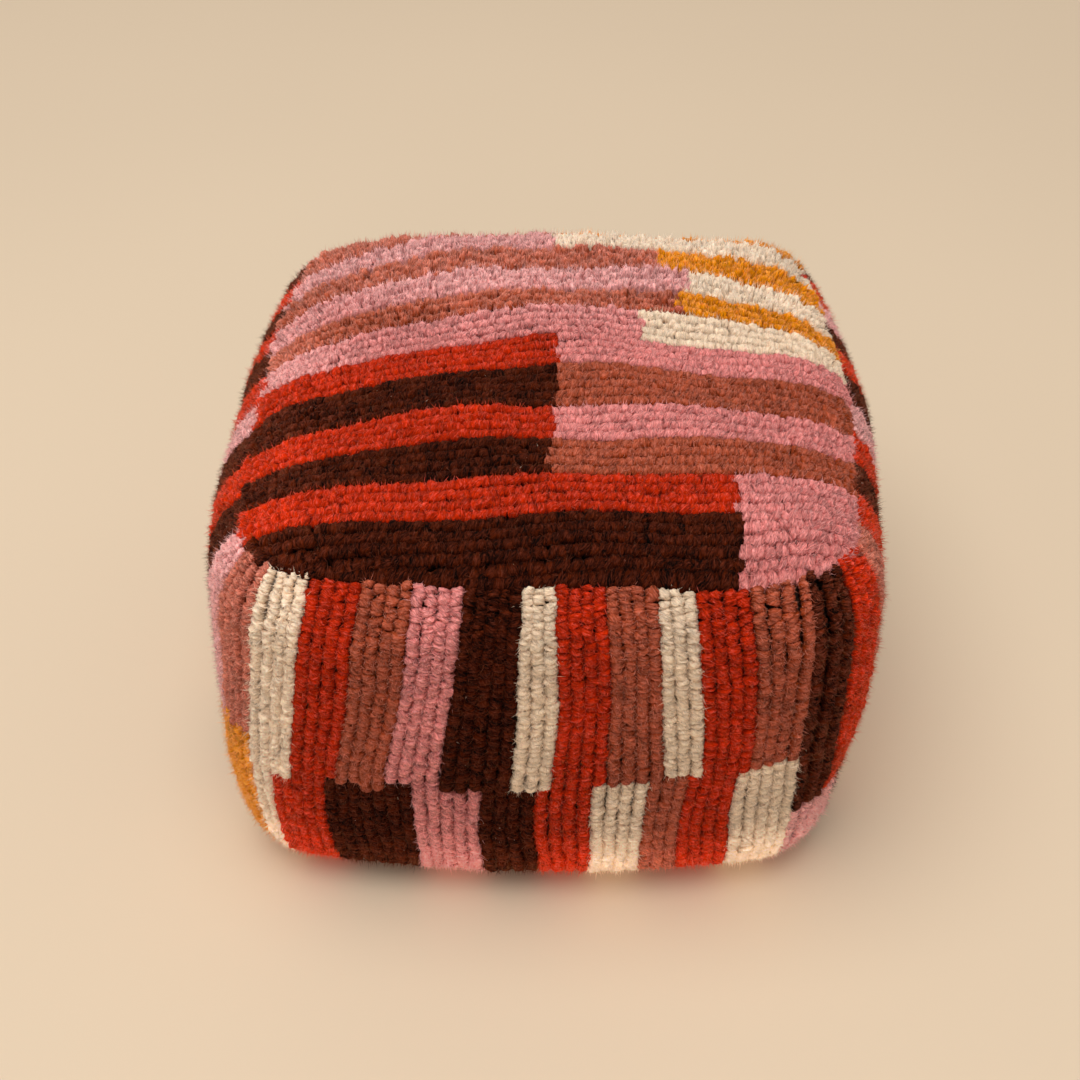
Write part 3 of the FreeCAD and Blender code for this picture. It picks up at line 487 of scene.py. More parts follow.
def tuft_mesh(name, tufts, pile, draw):
    """Mesh of many tufts with their plies, loose fibres and shading values."""
    places, at_root, corners, counts, texture = tuft_template()
    total, size = len(tufts["root"]), len(places)
    axis = unit(tufts["axis"])
    along = unit(tufts["along"] - axis * np.sum(tufts["along"] * axis, -1, keepdims=True))
    across = np.cross(along, axis)
    a, b, dome = places.T
    body = 1 - at_root
    height = tufts["height"][:, None]
    rim = (tufts["rim"] * draw.uniform(0.85, 1.15, total))[:, None] * height
    slant = draw.normal(0.34, 0.28, total)[:, None]
    phase = draw.uniform(0, 1, total)[:, None]
    u = tufts["half_a"][:, None] * a
    v = tufts["half_b"][:, None] * b + draw.normal(0, 0.17, total)[:, None] * u
    strand = v + slant * u
    groove = (0.5 + 0.5 * np.cos(2 * math.pi * (strand / pile.ply_pitch + phase))) ** 2 * body
    brush = tufts["brush"]
    ragged = draw.normal(0, RAGGED, (total, size)) * brush[:, None] * body
    tip = (height - rim) * body + rim * dome - pile.ply_depth * groove + ragged
    rough = draw.normal(0, YARN_ROUGH, (total, size, 3)) * body[None, :, None]
    points = (tufts["root"][:, None] + across[:, None] * (u * (1 - 0.08 * groove))[..., None]
              + along[:, None] * v[..., None] + axis[:, None] * tip[..., None] + rough)
    offset = draw.uniform(0, 40, (total, 3))
    yarn = np.stack([u, strand, tip], -1) + offset[:, None]
    # How deep a point lies under its tip, which the painted root shade follows
    sunk = np.clip((1 - tip / height) * SUNK_RATE, 0, 1)
    tint = draw.uniform(0, MOST_TINT, total)
    side = math.ceil(math.sqrt(total))
    cell = np.stack([np.arange(total) % side, np.arange(total) // side], -1) + 0.5
    parts = [[points.reshape(-1, 3)], [(np.arange(total)[:, None] * size + corners).ravel()],
             [np.tile(counts, total)], [((cell[:, None] + texture) / side).reshape(-1, 2)],
             [yarn.reshape(-1, 3)], [sunk.ravel()],
             *([np.repeat(values, size)] for values in (tint, tufts["fluff"], tufts["worn"]))]
    if pile.fuzz_count:
        ways = axis, across, along
        fuzz = fuzz_parts(tufts, ways, rim[:, 0], tint, offset, cell / side, 1 / side, pile, draw)
        fuzz[1] = fuzz[1] + len(parts[0][0])
        for part, more in zip(parts, fuzz):
            part.append(more)
    points, corners, counts, spots, yarn, *shades = (np.concatenate(part) for part in parts)
    points = soft_shift(points)
    points[:, 2] = np.maximum(points[:, 2], LOWEST)
    mesh = new_mesh(name, points, corners, counts)
    add_uv(mesh, spots)
    add_vectors(mesh, "yarn", yarn)
    for label, values in zip(("sunk", "tint", "fluff", "worn"), shades):
        add_floats(mesh, label, values)
    return mesh


def fuzz_parts(tufts, ways, rim, tint, offset, cell, cell_size, pile, draw):
    """Loose fibres that stand out of the tufts, as the same lists as the tufts' own."""
    count = pile.fuzz_count
    pick = np.repeat(np.arange(len(rim)), count)
    total = len(pick)
    axis, across, along = (way[pick] for way in ways)
    half_a, half_b, height = (tufts[k][pick] for k in ("half_a", "half_b", "height"))
    turn = draw.uniform(0, 2 * math.pi, total)
    far = np.sqrt(draw.uniform(0.0, 1.0, total))
    a, b = far * np.cos(turn), far * np.sin(turn)
    lift = np.sqrt(1 - far ** 2)
    base = (tufts["root"][pick] + across * (half_a * a * 0.9)[:, None]
            + along * (half_b * b * 0.9)[:, None]
            + axis * (height - rim[pick] + rim[pick] * lift * 0.85 - 0.0006)[:, None])
    brush = tufts["brush"][pick]
    upright = np.tile(np.arange(count) % 2 == 0, len(rim)) | (draw.uniform(0, 1, total) < brush)
    spread = np.where(upright, 0.35, 1.0)[:, None]
    lean = unit((across * a[:, None] + along * b[:, None] + draw.normal(0, 0.6, (total, 3))) * spread
                + axis * np.where(upright, 1.0, 0.15 + 0.35 * lift)[:, None])
    base = base - axis * np.where(upright, FUZZ_ROOT, 0.0)[:, None]
    length = pile.fuzz_length * draw.uniform(0.35, 1.3, total) ** np.where(upright, 1.0, 1.5)
    length = length * (1 + 0.4 * brush)
    stray = draw.uniform(0, 1, total) < STRAY_SHARE
    length = np.where(stray, STRAY_LENGTH, length)
    wide = unit(np.cross(lean, draw.normal(0, 1, (total, 3)))) * FUZZ_THICK
    deep = np.cross(lean, wide)
    foot = [base + wide * math.cos(t) + deep * math.sin(t) for t in (0, 2.0944, 4.1888)]
    points = np.stack(foot + [base + lean * length[:, None]], 1)
    corners = np.array([0, 1, 3, 1, 2, 3, 2, 0, 3, 2, 1, 0])
    spot = cell[pick] + 0.33 * cell_size * np.stack([a, b], -1)
    place = np.stack([half_a * a, half_b * b, height], -1) + offset[pick]
    # Loose fibres carry more fluff than their tuft, so they are drawn lighter and paler: painted highlight
    return [points.reshape(-1, 3), (np.arange(total)[:, None] * 4 + corners).ravel(),
            np.full(total * 4, 3), np.repeat(spot, 12, 0), np.repeat(place, 4, 0),
            np.zeros(total * 4), np.repeat(np.where(stray, STRAY_TINT, tint[pick]), 4),
            np.repeat(0.4 + 0.6 * tufts["fluff"][pick], 4), np.repeat(tufts["worn"][pick], 4)]


def stripe_columns(stripes):
    """Wool of each column, and the number of its stripe, from a list of stripes."""
    wools = [WOOLS.index(colour) for colour, count in stripes for _ in range(count)]
    return np.array(wools), np.repeat(np.arange(len(stripes)), [count for _, count in stripes])


# How far the right front corner's columns lie to the right at the foot, and how much wider the
# first stripe past it is
FOOT_SPREAD = 0.008
FIRST_SPREAD = 0.009


def seam_fan(panel, share, z):
    """How far columns are drawn along the path, so that the front widens towards its foot."""
    drawn = np.interp(z, [0.17, 0.345], [-0.010, 0.011])
    foot = FOOT_SPREAD * (1 - ease(z, 0.1, 0.2))
    if panel == "front":
        return -drawn * np.sin(2.6 * (2 * share - 1)) + foot * ease(share, 0.8, 1)
    if panel == "right":
        wide = FIRST_SPREAD * ease(share, 0, 0.075) * (1 - ease(share, 0.1, 0.4))
        return wide + foot * (1 - ease(share, 0, 0.3)) - 0.515 * drawn * (1 - share) ** 2
    if panel == "left":
        return 0.515 * drawn * share ** 2
    return np.zeros_like(share)


def side_tufts(panel, pile):
    """Places and shapes of all tufts of one side panel, with the wool of each."""
    draw = np.random.default_rng(pile.seed + 10 * (1 + PANELS.index(panel)))
    runs = side_runs(panel)
    length = path_length(runs)
    (upper, upper_stripe), (lower, _) = (stripe_columns(s) for s in SIDE_STRIPES[panel])
    columns = len(upper)
    pitch = length / columns
    border = draw.normal(0, STRIPE_END_VARIES, columns)[upper_stripe]
    border = border + draw.normal(0, COLUMN_END_VARIES, columns)
    border = border + BAND_HEIGHT + BAND_SLOPE * (np.arange(columns) / columns - 0.5)
    if panel == "right":
        border = border - np.interp(np.arange(columns), RIGHT_FALL, [RIGHT_DROP, 0])
    found = []
    for c in range(columns):
        step = pile.side_pitch * draw.uniform(0.62, 1.45, MOST_IN_COLUMN)
        q = np.cumsum(step) - step * 0.5 - draw.uniform(0, 0.004)
        z = on_profile(q)[1]
        s = (c + 0.5) * pitch + WANDER * np.sin(q * 31 + c * 0.45) + draw.normal(0, 0.0003, len(q))
        s = s + seam_fan(panel, s / length, z)
        wool = np.where(z > border[c], upper[c], lower[c])
        found.append(np.stack([s, q, step, wool, np.full(len(q), c)])[:, q < SIDE_DROP - 0.001])
    s, q, step, wool, column = np.concatenate(found, 1)
    _, radius, _ = on_path(runs, s)
    local = pitch * (radius - on_profile(q)[0]) / radius
    keep = draw.uniform(0, 1, len(s)) < 1.3 * local / pitch
    s, q, step, wool, column, local = (v[keep] for v in (s, q, step, wool, column, local))
    count = len(s)
    root, normal, down = on_side(runs, s, q, np.full(count, pile.pile_height))
    aside = np.cross(normal, down)
    edge = np.minimum(column, columns - 1 - column)
    flare = np.where(edge < 1, 0.16, 0.0) * np.where(column < columns / 2, -1, 1)
    lift = np.clip(1 - q / 0.016, 0, 1)
    low = ease(q, SIDE_DROP - 0.15, SIDE_DROP - 0.06)
    axis = (normal + aside * flare[:, None] + down * (0.08 - 0.14 * lift - 0.3 * low)[:, None]
            + draw.normal(0, 0.045, normal.shape))
    fuller = 1 + 0.1 * low
    outer = column < 4
    # Painted light: the front's foot and outer columns, and the foot of the other sides, are drawn lighter
    # than their wool
    if panel == "front":
        brush = 0.1 + 0.3 * low + 0.5 * outer
        fluff, worn = 0.6 * brush, np.maximum(low, 0.1 * outer)
    else:
        brush, fluff, worn = np.full(count, 0.45), np.full(count, SIDE_FLUFF_AND_PAINTED_LIGHT), 0.3 * low
    return {
        "root": root, "axis": axis, "along": down + aside * draw.normal(0, TUFT_SWAY, (count, 1)),
        "half_a": 0.56 * fuller * np.maximum(local, LEAST_COLUMN) * draw.uniform(*WIDTH_VARIES, count),
        "half_b": 0.66 * fuller * step * draw.uniform(*LENGTH_VARIES, count),
        "height": pile.pile_height * draw.normal(1.0, HEIGHT_VARIES, count),
        "rim": np.full(count, TUFT_RIM), "wool": wool.astype(int), "brush": brush, "fluff": fluff,
        "worn": worn,
    }


def arch_rows(x, row):
    """Y of the top's rows, which slant, arch and fan out to the back."""
    across = x / STRIPE_REACH
    return row + STRIPE_SLANT * across - (STRIPE_ARCH + STRIPE_FAN * row / STRIPE_REACH) * across ** 2


def row_under(x, y):
    """Row of the top that passes a point of the plan, before it is arched."""
    across = x / STRIPE_REACH
    raised = y - STRIPE_SLANT * across + STRIPE_ARCH * across ** 2
    return raised / (1 - STRIPE_FAN / STRIPE_REACH * across ** 2)


def top_wool(x, row, pitch, stray):
    """Wool at places along the top's rows."""
    row = row - STRIPE_SHIFT * np.exp(-((row - SHIFT_AT) / SHIFT_SPREAD) ** 2)
    stripe = np.floor((row - FIRST_STRIPE + HALF) / (STRIPE_ROWS * pitch)).astype(int) + 1
    stripe = np.clip(stripe, 0, len(TOP_STRIPES) - 1)
    left, split, right = (np.array(part) for part in zip(*[
        (WOOLS.index(a), n * TOP_TUFT, WOOLS.index(b)) for a, n, b in TOP_STRIPES]))
    return np.where(x < split[stripe] + stray, left[stripe], right[stripe])


def seam_row(pile, draw):
    """Places of the tufts along the top's own edge, with their pitch."""
    found = []
    for panel in PANELS:
        runs = side_runs(panel)
        length = path_length(runs)
        s = np.arange(0.004, length, pile.top_pitch * EDGE_PITCH)
        s = s + draw.normal(0, 0.0006, len(s))
        centre, radius, out = on_path(runs, s)
        found.append(centre + out * (radius - TOP_INSET - EDGE_IN)[:, None])
    x, y = np.concatenate(found).T
    gap = np.hypot(x - np.roll(x, 1), y - np.roll(y, 1))
    keep = gap > 0.6 * pile.top_pitch
    return x[keep], y[keep]


def top_tufts(pile):
    """Places and shapes of all tufts of the top panel, with the wool of each."""
    draw = np.random.default_rng(pile.seed)
    found = []
    for r in TOP_ROWS:
        row = FIRST_STRIPE - HALF + (r + 0.5) * pile.row_pitch
        brushed = ease(row, 0.02, 0.12)
        step = pile.top_pitch * (1 - 0.35 * brushed) * draw.uniform(0.72, 1.3, MOST_IN_ROW)
        x = np.cumsum(step) - step * 0.5 - HALF + draw.uniform(0, 0.006)
        y = arch_rows(x, row) + WANDER * np.sin(x * 27 + r * 0.4) + draw.normal(0, 0.0004, len(x))
        wool = top_wool(x, np.full(len(x), row), pile.row_pitch, draw.normal(0, 0.0015))
        inside = corner_inset(x, y) > TOP_INSET + EDGE_CLEAR
        found.append(np.stack([x, y, step, wool])[:, inside])
    rows = sum(part.shape[1] for part in found)
    x, y, step, wool = np.concatenate(found, 1)
    edge_x, edge_y = seam_row(pile, draw)
    gap = np.array([np.hypot(x - a, y - b).min() for a, b in zip(edge_x, edge_y)])
    spare = np.clip(gap - EDGE_GAP, 0, EDGE_PULL)
    pull = 1 - 0.5 * spare / np.hypot(edge_x, edge_y)
    edge_x, edge_y = edge_x * pull, edge_y * pull
    edge_wool = top_wool(edge_x, row_under(edge_x, edge_y), pile.row_pitch, 0.0)
    x, y, wool = (np.append(a, b) for a, b in ((x, edge_x), (y, edge_y), (wool, edge_wool)))
    step = np.append(step, np.full(len(edge_x), pile.top_pitch * EDGE_PITCH))
    wide = np.append(np.zeros(rows), 0.6 * spare)
    count = len(x)
    at_seam = np.arange(count) >= rows
    normal = top_normal(x, y)
    outward = unit(np.stack([normal[:, 0], normal[:, 1], np.zeros(count)], -1) + 1e-9)
    flare = np.clip(1 - (corner_inset(x, y) - TOP_INSET) / 0.018, 0, 1)
    brushed = ease(y, 0.02, 0.13)
    shag = ease(x, 0.13, 0.15) * ease(-y, 0.13, 0.15)
    lean = np.stack([0.55 * ease(x, 0.14, 0.25) - 0.6 * ease(-x, 0.15, 0.25),
                     0.95 * brushed - 0.4 * shag * ease(-y, 0.19, 0.22), np.zeros(count)], -1)
    axis = (normal + lean + outward * (0.2 * flare)[:, None]
            + draw.normal(0, 0.035, normal.shape) * (1 + 2.5 * brushed)[:, None])
    tangent = np.stack([-outward[:, 1], outward[:, 0], np.zeros(count)], -1)
    along = np.where(at_seam[:, None], tangent,
                     np.stack([np.ones(count), draw.normal(0, TUFT_SWAY, count), np.zeros(count)], -1))
    tip = np.stack([x, y, top_height(x, y)], -1)
    return {
        "root": tip - normal * pile.pile_height, "axis": axis, "along": along,
        "half_a": wide + 0.6 * pile.row_pitch * draw.uniform(*WIDTH_VARIES, count),
        "half_b": (0.65 + 0.2 * brushed) * step * draw.uniform(*LENGTH_VARIES, count),
        "height": pile.pile_height * draw.normal(1.0 + 0.16 * brushed, HEIGHT_VARIES + 0.05 * brushed,
                                                 count),
        "rim": TUFT_RIM + 0.06 * brushed, "wool": wool.astype(int),
        "brush": np.maximum(np.maximum(brushed, 0.6 * shag), 0.08 + 0.5 * ease(-x, 0.17, 0.25)),
        # Brushed rows and the left ends are drawn lighter and paler: faded tips, and painted light
        "fluff": np.maximum(brushed, 0.8 * ease(-x, 0.13, 0.24)), "worn": np.zeros(count),
    }


def lay_pile(panel, tufts, pile):
    """One piece of pile for each wool of a panel."""
    for k, wool in enumerate(WOOLS):
        mine = tufts["wool"] == k
        if not mine.any():
            continue
        chosen = {name: values[mine] for name, values in tufts.items()}
        draw = np.random.default_rng(pile.seed + 100 * (1 + k) + ord(panel[0]))
        mesh = tuft_mesh(f"{panel}_tufts_{wool}", chosen, pile, draw)
        place_piece(mesh, wool_material(wool), [f"{panel}_pile_{wool}"])


# Node trees

def set_inputs(tree, made, inputs):
    """Give a node's inputs their values, or link them to sockets."""
    for name, value in inputs.items():
        if isinstance(value, bpy.types.NodeSocket):
            tree.links.new(value, made.inputs[name])
        else:
            made.inputs[name].default_value = value


def node(tree, kind, inputs=None, **settings):
    """Node with its settings, and inputs given as values or as sockets to link."""
    made = tree.nodes.new(kind)
    for name, value in settings.items():
        setattr(made, name, value)
    set_inputs(tree, made, inputs or {})
    return made


def calc(tree, operation, first, second=0.0, third=0.0, clamp=False):
    """Result of a math node."""
    return node(tree, "ShaderNodeMath", {0: first, 1: second, 2: third}, operation=operation,
                use_clamp=clamp).outputs[0]


def varied(tree, level, value, amount):
    """Level that follows how far a value is from the middle of 0 to 1."""
    return calc(tree, "MULTIPLY_ADD", calc(tree, "SUBTRACT", value, 0.5), amount, level)


def blend_colour(tree, amount, first, second):
    """Colour between two colours."""
    return node(tree, "ShaderNodeMix", {0: amount, 6: first, 7: second}, data_type="RGBA").outputs[2]


def blend_shader(tree, amount, first, second):
    """Shader between the shaders of two nodes."""
    return node(tree, "ShaderNodeMixShader", {0: amount, 1: first.outputs[0], 2: second.outputs[0]})


def attribute(tree, name, output="Fac"):
    """Value that is kept on the points of a mesh."""
    return node(tree, "ShaderNodeAttribute", attribute_name=name).outputs[output]


def object_place(tree):
    """Place on the object."""
    return node(tree, "ShaderNodeTexCoord").outputs["Object"]


def stretch(tree, vector, sizes):
    """Vector with each of its parts scaled."""
    return node(tree, "ShaderNodeVectorMath", {0: vector, 1: sizes}, operation="MULTIPLY").outputs[0]


def noise(tree, vector, scale, detail, roughness=0.5):
    """Soft noise from 0 to 1."""
    return node(tree, "ShaderNodeTexNoise", {"Vector": vector, "Scale": scale, "Detail": detail,
                                             "Roughness": roughness}).outputs["Fac"]


def shade(tree, colour, inputs):
    """Colour with its value or saturation changed."""
    return node(tree, "ShaderNodeHueSaturation", {"Color": colour, **inputs}).outputs[0]


def bump(tree, height, distance, strength=1.0):
    """Normal of a surface that has a height."""
    return node(tree, "ShaderNodeBump",
                {"Height": height, "Distance": distance, "Strength": strength}).outputs[0]


def new_group(name, inputs, outputs):
    """Shader node group with its named sockets: its tree, its input sockets and its last node."""
    group = bpy.data.node_groups.new(name, "ShaderNodeTree")
    for label, value in inputs.items():
        kind = "NodeSocketColor" if isinstance(value, tuple) else "NodeSocketFloat"
        group.interface.new_socket(label, in_out="INPUT", socket_type=kind).default_value = value
    for label in outputs:
        kind = "NodeSocketColor" if label == "Colour" else "NodeSocketFloat"
        group.interface.new_socket(label, in_out="OUTPUT", socket_type=kind)
    return group, group.nodes.new("NodeGroupInput").outputs, group.nodes.new("NodeGroupOutput")


def place_group(tree, group, inputs):
    """Outputs of a group's node in a material, with its values or links."""
    return node(tree, "ShaderNodeGroup", inputs, node_tree=group).outputs


STRAY_COLOUR = (0.7, 0.52, 0.4, 1)
# How much the painted light brightens a tuft, and the roughness of the fibre's lines
PAINTED_LIGHT_GAIN = 0.9
FIBRE_ROUGHNESS = 0.62


def wool_yarn_group():
    """Group for spun wool: fibre lines, flecks, tuft tints, painted shade towards the roots and painted light
    on fluffed and brightened tufts.
    """
    name = "Wool yarn"
    if name in bpy.data.node_groups:
        return bpy.data.node_groups[name]
    tree, given, leave = new_group(
        name, {"Colour": (0.5, 0.3, 0.2, 1), "Heather": 0.5, "Tuft range": 0.3, "Root shade": 0.5,
               "Fluff gain": 0.4, "Fluff fade": 0.1, "Lint": 0.0}, ("Colour", "Roughness", "Height"))
    yarn = attribute(tree, "yarn", "Vector")
    tint, sunk, fluff, worn = (attribute(tree, label) for label in ("tint", "sunk", "fluff", "worn"))
    fine, lock = (noise(tree, stretch(tree, yarn, (along, across, along)), 1.0, 2.0, FIBRE_ROUGHNESS)
                  for along, across in ((260, 1150), (120, 480)))
    patch = noise(tree, object_place(tree), 14.0, 2.0)
    level = varied(tree, varied(tree, 0.0, fine, 2.6), lock, 2.6)
    level = calc(tree, "MULTIPLY", level, given["Heather"])
    level = varied(tree, varied(tree, level, tint, given["Tuft range"]), patch, 0.5)
    level = calc(tree, "ADD", level, 1.0)
    # Painted shade: the colour darkens and grows more saturated towards the root, by how deep the point lies
    dark = calc(tree, "MULTIPLY", sunk, given["Root shade"])
    level = calc(tree, "MULTIPLY", level, calc(tree, "SUBTRACT", 1.0, dark))
    # Painted light: fluffed tufts are drawn lighter, and the fade takes some of their colour out
    gain = calc(tree, "MULTIPLY_ADD", fluff, given["Fluff gain"], 1.0)
    # Painted light: some tufts are drawn lighter, standing in for light that falls on them
    level = calc(tree, "MULTIPLY", level, calc(tree, "MULTIPLY_ADD", worn, PAINTED_LIGHT_GAIN, gain))
    calm = calc(tree, "MULTIPLY_ADD", dark, 0.3, varied(tree, 1.0, fine, -0.35))
    calm = calc(tree, "SUBTRACT", calm, calc(tree, "MULTIPLY", fluff, given["Fluff fade"]))
    dyed = shade(tree, given["Colour"], {"Saturation": calm, "Value": level})
    stray = calc(tree, "GREATER_THAN", tint, (MOST_TINT + STRAY_TINT) / 2)
    stray = calc(tree, "MULTIPLY", stray, given["Lint"])
    set_inputs(tree, leave, {
        "Colour": blend_colour(tree, stray, dyed, STRAY_COLOUR),
        "Roughness": calc(tree, "MULTIPLY_ADD", lock, 0.25, 0.7),
        "Height": calc(tree, "MULTIPLY_ADD", fine, 0.8, calc(tree, "MULTIPLY", lock, 1.6))})
    return tree


def plain_weave_group():
    """Group for plain woven cloth: crossing threads with painted shade between them, slubs and uneven dye."""
    name = "Plain weave"
    if name in bpy.data.node_groups:
        return bpy.data.node_groups[name]
    tree, given, leave = new_group(name, {"Colour": (0.5, 0.4, 0.3, 1), "Threads": 800.0, "Slub": 0.3},
                                   ("Colour", "Roughness", "Height"))
    threads = node(tree, "ShaderNodeVectorMath", {0: attribute(tree, "cloth", "Vector"),
                                                  "Scale": given["Threads"]}, operation="SCALE").outputs[0]
    split = node(tree, "ShaderNodeSeparateXYZ", {0: threads}).outputs
    warp, weft = (calc(tree, "SINE", calc(tree, "MULTIPLY", split[k], math.pi)) for k in (0, 1))
    over = calc(tree, "GREATER_THAN", calc(tree, "MULTIPLY", warp, weft), 0.0)
    high = calc(tree, "MULTIPLY", calc(tree, "ABSOLUTE", warp), over)
    low = calc(tree, "MULTIPLY", calc(tree, "ABSOLUTE", weft), calc(tree, "SUBTRACT", 1.0, over))
    height = calc(tree, "ADD", high, low)
    slub = noise(tree, object_place(tree), 60.0, 3.0)
    # Painted shade: the cloth is drawn darker in the gaps between the threads, where the weave is low
    level = calc(tree, "MULTIPLY_ADD", height, 0.34, varied(tree, 0.72, slub, given["Slub"]))
    set_inputs(tree, leave, {
        "Colour": shade(tree, given["Colour"], {"Value": level}),
        "Roughness": calc(tree, "MULTIPLY_ADD", slub, 0.2, 0.72), "Height": height})
    return tree


def soiling_group():
    """Group for dust, tarnish and rubbed places: mixes a second colour in by uneven patches."""
    name = "Soiling"
    if name in bpy.data.node_groups:
        return bpy.data.node_groups[name]
    tree, given, leave = new_group(
        name, {"Colour": (0.5, 0.4, 0.3, 1), "Soil": (0.2, 0.15, 0.1, 1), "Amount": 0.3, "Scale": 30.0},
        ("Colour", "Mask"))
    patch = noise(tree, object_place(tree), given["Scale"], 5.0, 0.65)
    mask = node(tree, "ShaderNodeMapRange", {"Value": patch, "From Min": 0.42, "From Max": 0.68}).outputs[0]
    mask = calc(tree, "MULTIPLY", mask, given["Amount"], clamp=True)
    set_inputs(tree, leave, {"Colour": blend_colour(tree, mask, given["Colour"], given["Soil"]),
                             "Mask": mask})
    return tree


def new_material(name):
    """Empty node material with its tree, shader and output."""
    material = bpy.data.materials.new(name)
    material.use_nodes = True
    tree = material.node_tree
    tree.nodes.clear()
    shader = node(tree, "ShaderNodeBsdfPrincipled")
    output = node(tree, "ShaderNodeOutputMaterial", {0: shader.outputs[0]})
    return material, tree, shader, output


# What each wool gives to the inputs of its yarn, and its sheen
YARN_INPUTS = ("Heather", "Tuft range", "Root shade", "Fluff gain", "Fluff fade", "Lint")
WOOL_LOOKS = {
    "red": (0.75, 0.34, 0.6, 0.4, 0.0, 0.0), "brown": (1.6, 0.9, 0.75, 0.9, 0.05, 1.0),
    "pink": (0.7, 0.24, 0.55, 0.36, 0.24, 0.0), "rose": (0.75, 0.34, 0.6, 0.8, 0.12, 0.0),
    "cream": (0.4, 0.14, 0.45, 0.25, 0.12, 0.0), "ochre": (0.6, 0.28, 0.55, 0.4, 0.0, 0.0),
}
WOOL_SHEEN = {"red": 0.05, "brown": 0.015, "pink": 0.1, "rose": 0.06, "cream": 0.1, "ochre": 0.06}


def wool_material(wool):
    """Material of one colour of wool pile."""
    name = f"{wool}_wool_pile"
    if name in bpy.data.materials:
        return bpy.data.materials[name]
    colour = tuple(getattr(bpy.context.scene.pouf_colours, wool))
    material, tree, shader, _ = new_material(name)
    yarn = place_group(tree, wool_yarn_group(),
                       {"Colour": (*colour, 1), **dict(zip(YARN_INPUTS, WOOL_LOOKS[wool]))})
    set_inputs(tree, shader, {
        "Base Color": yarn["Colour"], "Roughness": yarn["Roughness"],
        "Normal": bump(tree, yarn["Height"], 0.0012), "Specular IOR Level": 0.05,
        "Subsurface Weight": 0.18, "Subsurface Radius": (1.0, 0.6, 0.45), "Subsurface Scale": 0.004,
        "Sheen Weight": WOOL_SHEEN[wool], "Sheen Roughness": 0.5,
        "Sheen Tint": (*[0.4 + 0.6 * c for c in colour], 1)})
    return material


def cloth_material(name, colour, threads, slub, dust=0.12):
    """Material of a plain woven cloth."""
    if name in bpy.data.materials:
        return bpy.data.materials[name]
    material, tree, shader, _ = new_material(name)
    weave = place_group(tree, plain_weave_group(),
                        {"Colour": (*colour, 1), "Threads": threads, "Slub": slub})
    soil = place_group(tree, soiling_group(), {"Colour": weave["Colour"], "Amount": dust, "Scale": 22.0,
                                               "Soil": (*[c * 0.45 for c in colour], 1)})
    set_inputs(tree, shader, {
        "Base Color": soil["Colour"], "Roughness": weave["Roughness"],
        "Normal": bump(tree, weave["Height"], 0.35 / threads), "Specular IOR Level": 0.15,
        "Sheen Weight": 0.1})
    return material


def thread_material(colour):
    """Material of the twisted seam thread."""
    name = "seam_thread_twist"
    if name in bpy.data.materials:
        return bpy.data.materials[name]
    material, tree, shader, _ = new_material(name)
    yarn = place_group(tree, wool_yarn_group(), {"Colour": (*colour, 1), "Heather": 0.7, "Tuft range": 0.3,
                                                 "Root shade": 0.2})
    set_inputs(tree, shader, {
        "Base Color": yarn["Colour"], "Roughness": yarn["Roughness"],
        "Normal": bump(tree, yarn["Height"], 0.0003), "Specular IOR Level": 0.25})
    return material


def brass_material(colour):
    """Material of the zip's antique brass, darker where it is tarnished and finely scratched."""
    name = "zip_antique_brass"
    if name in bpy.data.materials:
        return bpy.data.materials[name]
    material, tree, shader, _ = new_material(name)
    soil = place_group(tree, soiling_group(), {"Colour": (*colour, 1), "Amount": 0.75, "Scale": 420.0,
                                               "Soil": (*[c * 0.28 for c in colour], 1)})
    scratch = noise(tree, stretch(tree, object_place(tree), (500.0, 5200.0, 5200.0)), 1.0, 3.0)
    rough = calc(tree, "MULTIPLY_ADD", scratch, 0.14, 0.24)
    set_inputs(tree, shader, {
        "Base Color": soil["Colour"], "Roughness": calc(tree, "MULTIPLY_ADD", soil["Mask"], 0.32, rough),
        "Normal": bump(tree, scratch, 0.00004, 0.6), "Metallic": 1.0})
    return material


# Cloth shells and stitches

RING_CORNER = 9
RING_SIDE = 18


def ring_points(inset, z):
    """Closed plan outline drawn in by an inset, at one height."""
    points = []
    for k in range(4):
        square = math.pi / 2 * (k - 1)
        side = -SIDE_CENTRE * np.array([math.cos(square), math.sin(square)])
        for centre, radius, first, last, count in (
                (side, BULGE_RADIUS, square - SIDE_HALF, square + SIDE_HALF, RING_SIDE),
                (np.array(CORNERS[k]) * CORNER_AT, CORNER_RADIUS, square + SIDE_HALF,
                 square + math.pi / 2 - SIDE_HALF, RING_CORNER)):
            turn = np.linspace(first, last, count, endpoint=False)
            out = np.stack([np.cos(turn), np.sin(turn)], -1)
            points.append(centre + out * (radius - inset))
    plan = np.concatenate(points)
    return np.column_stack([plan, np.full(len(plan), z)])


def crown_rings(edge, scales):
    """Rings inside the top's edge as shares of it, which rise to the crown."""
    return [edge * (scale, scale, 1) + (0, 0, CROWN_RISE * (1 - scale ** 2)) for scale in scales]


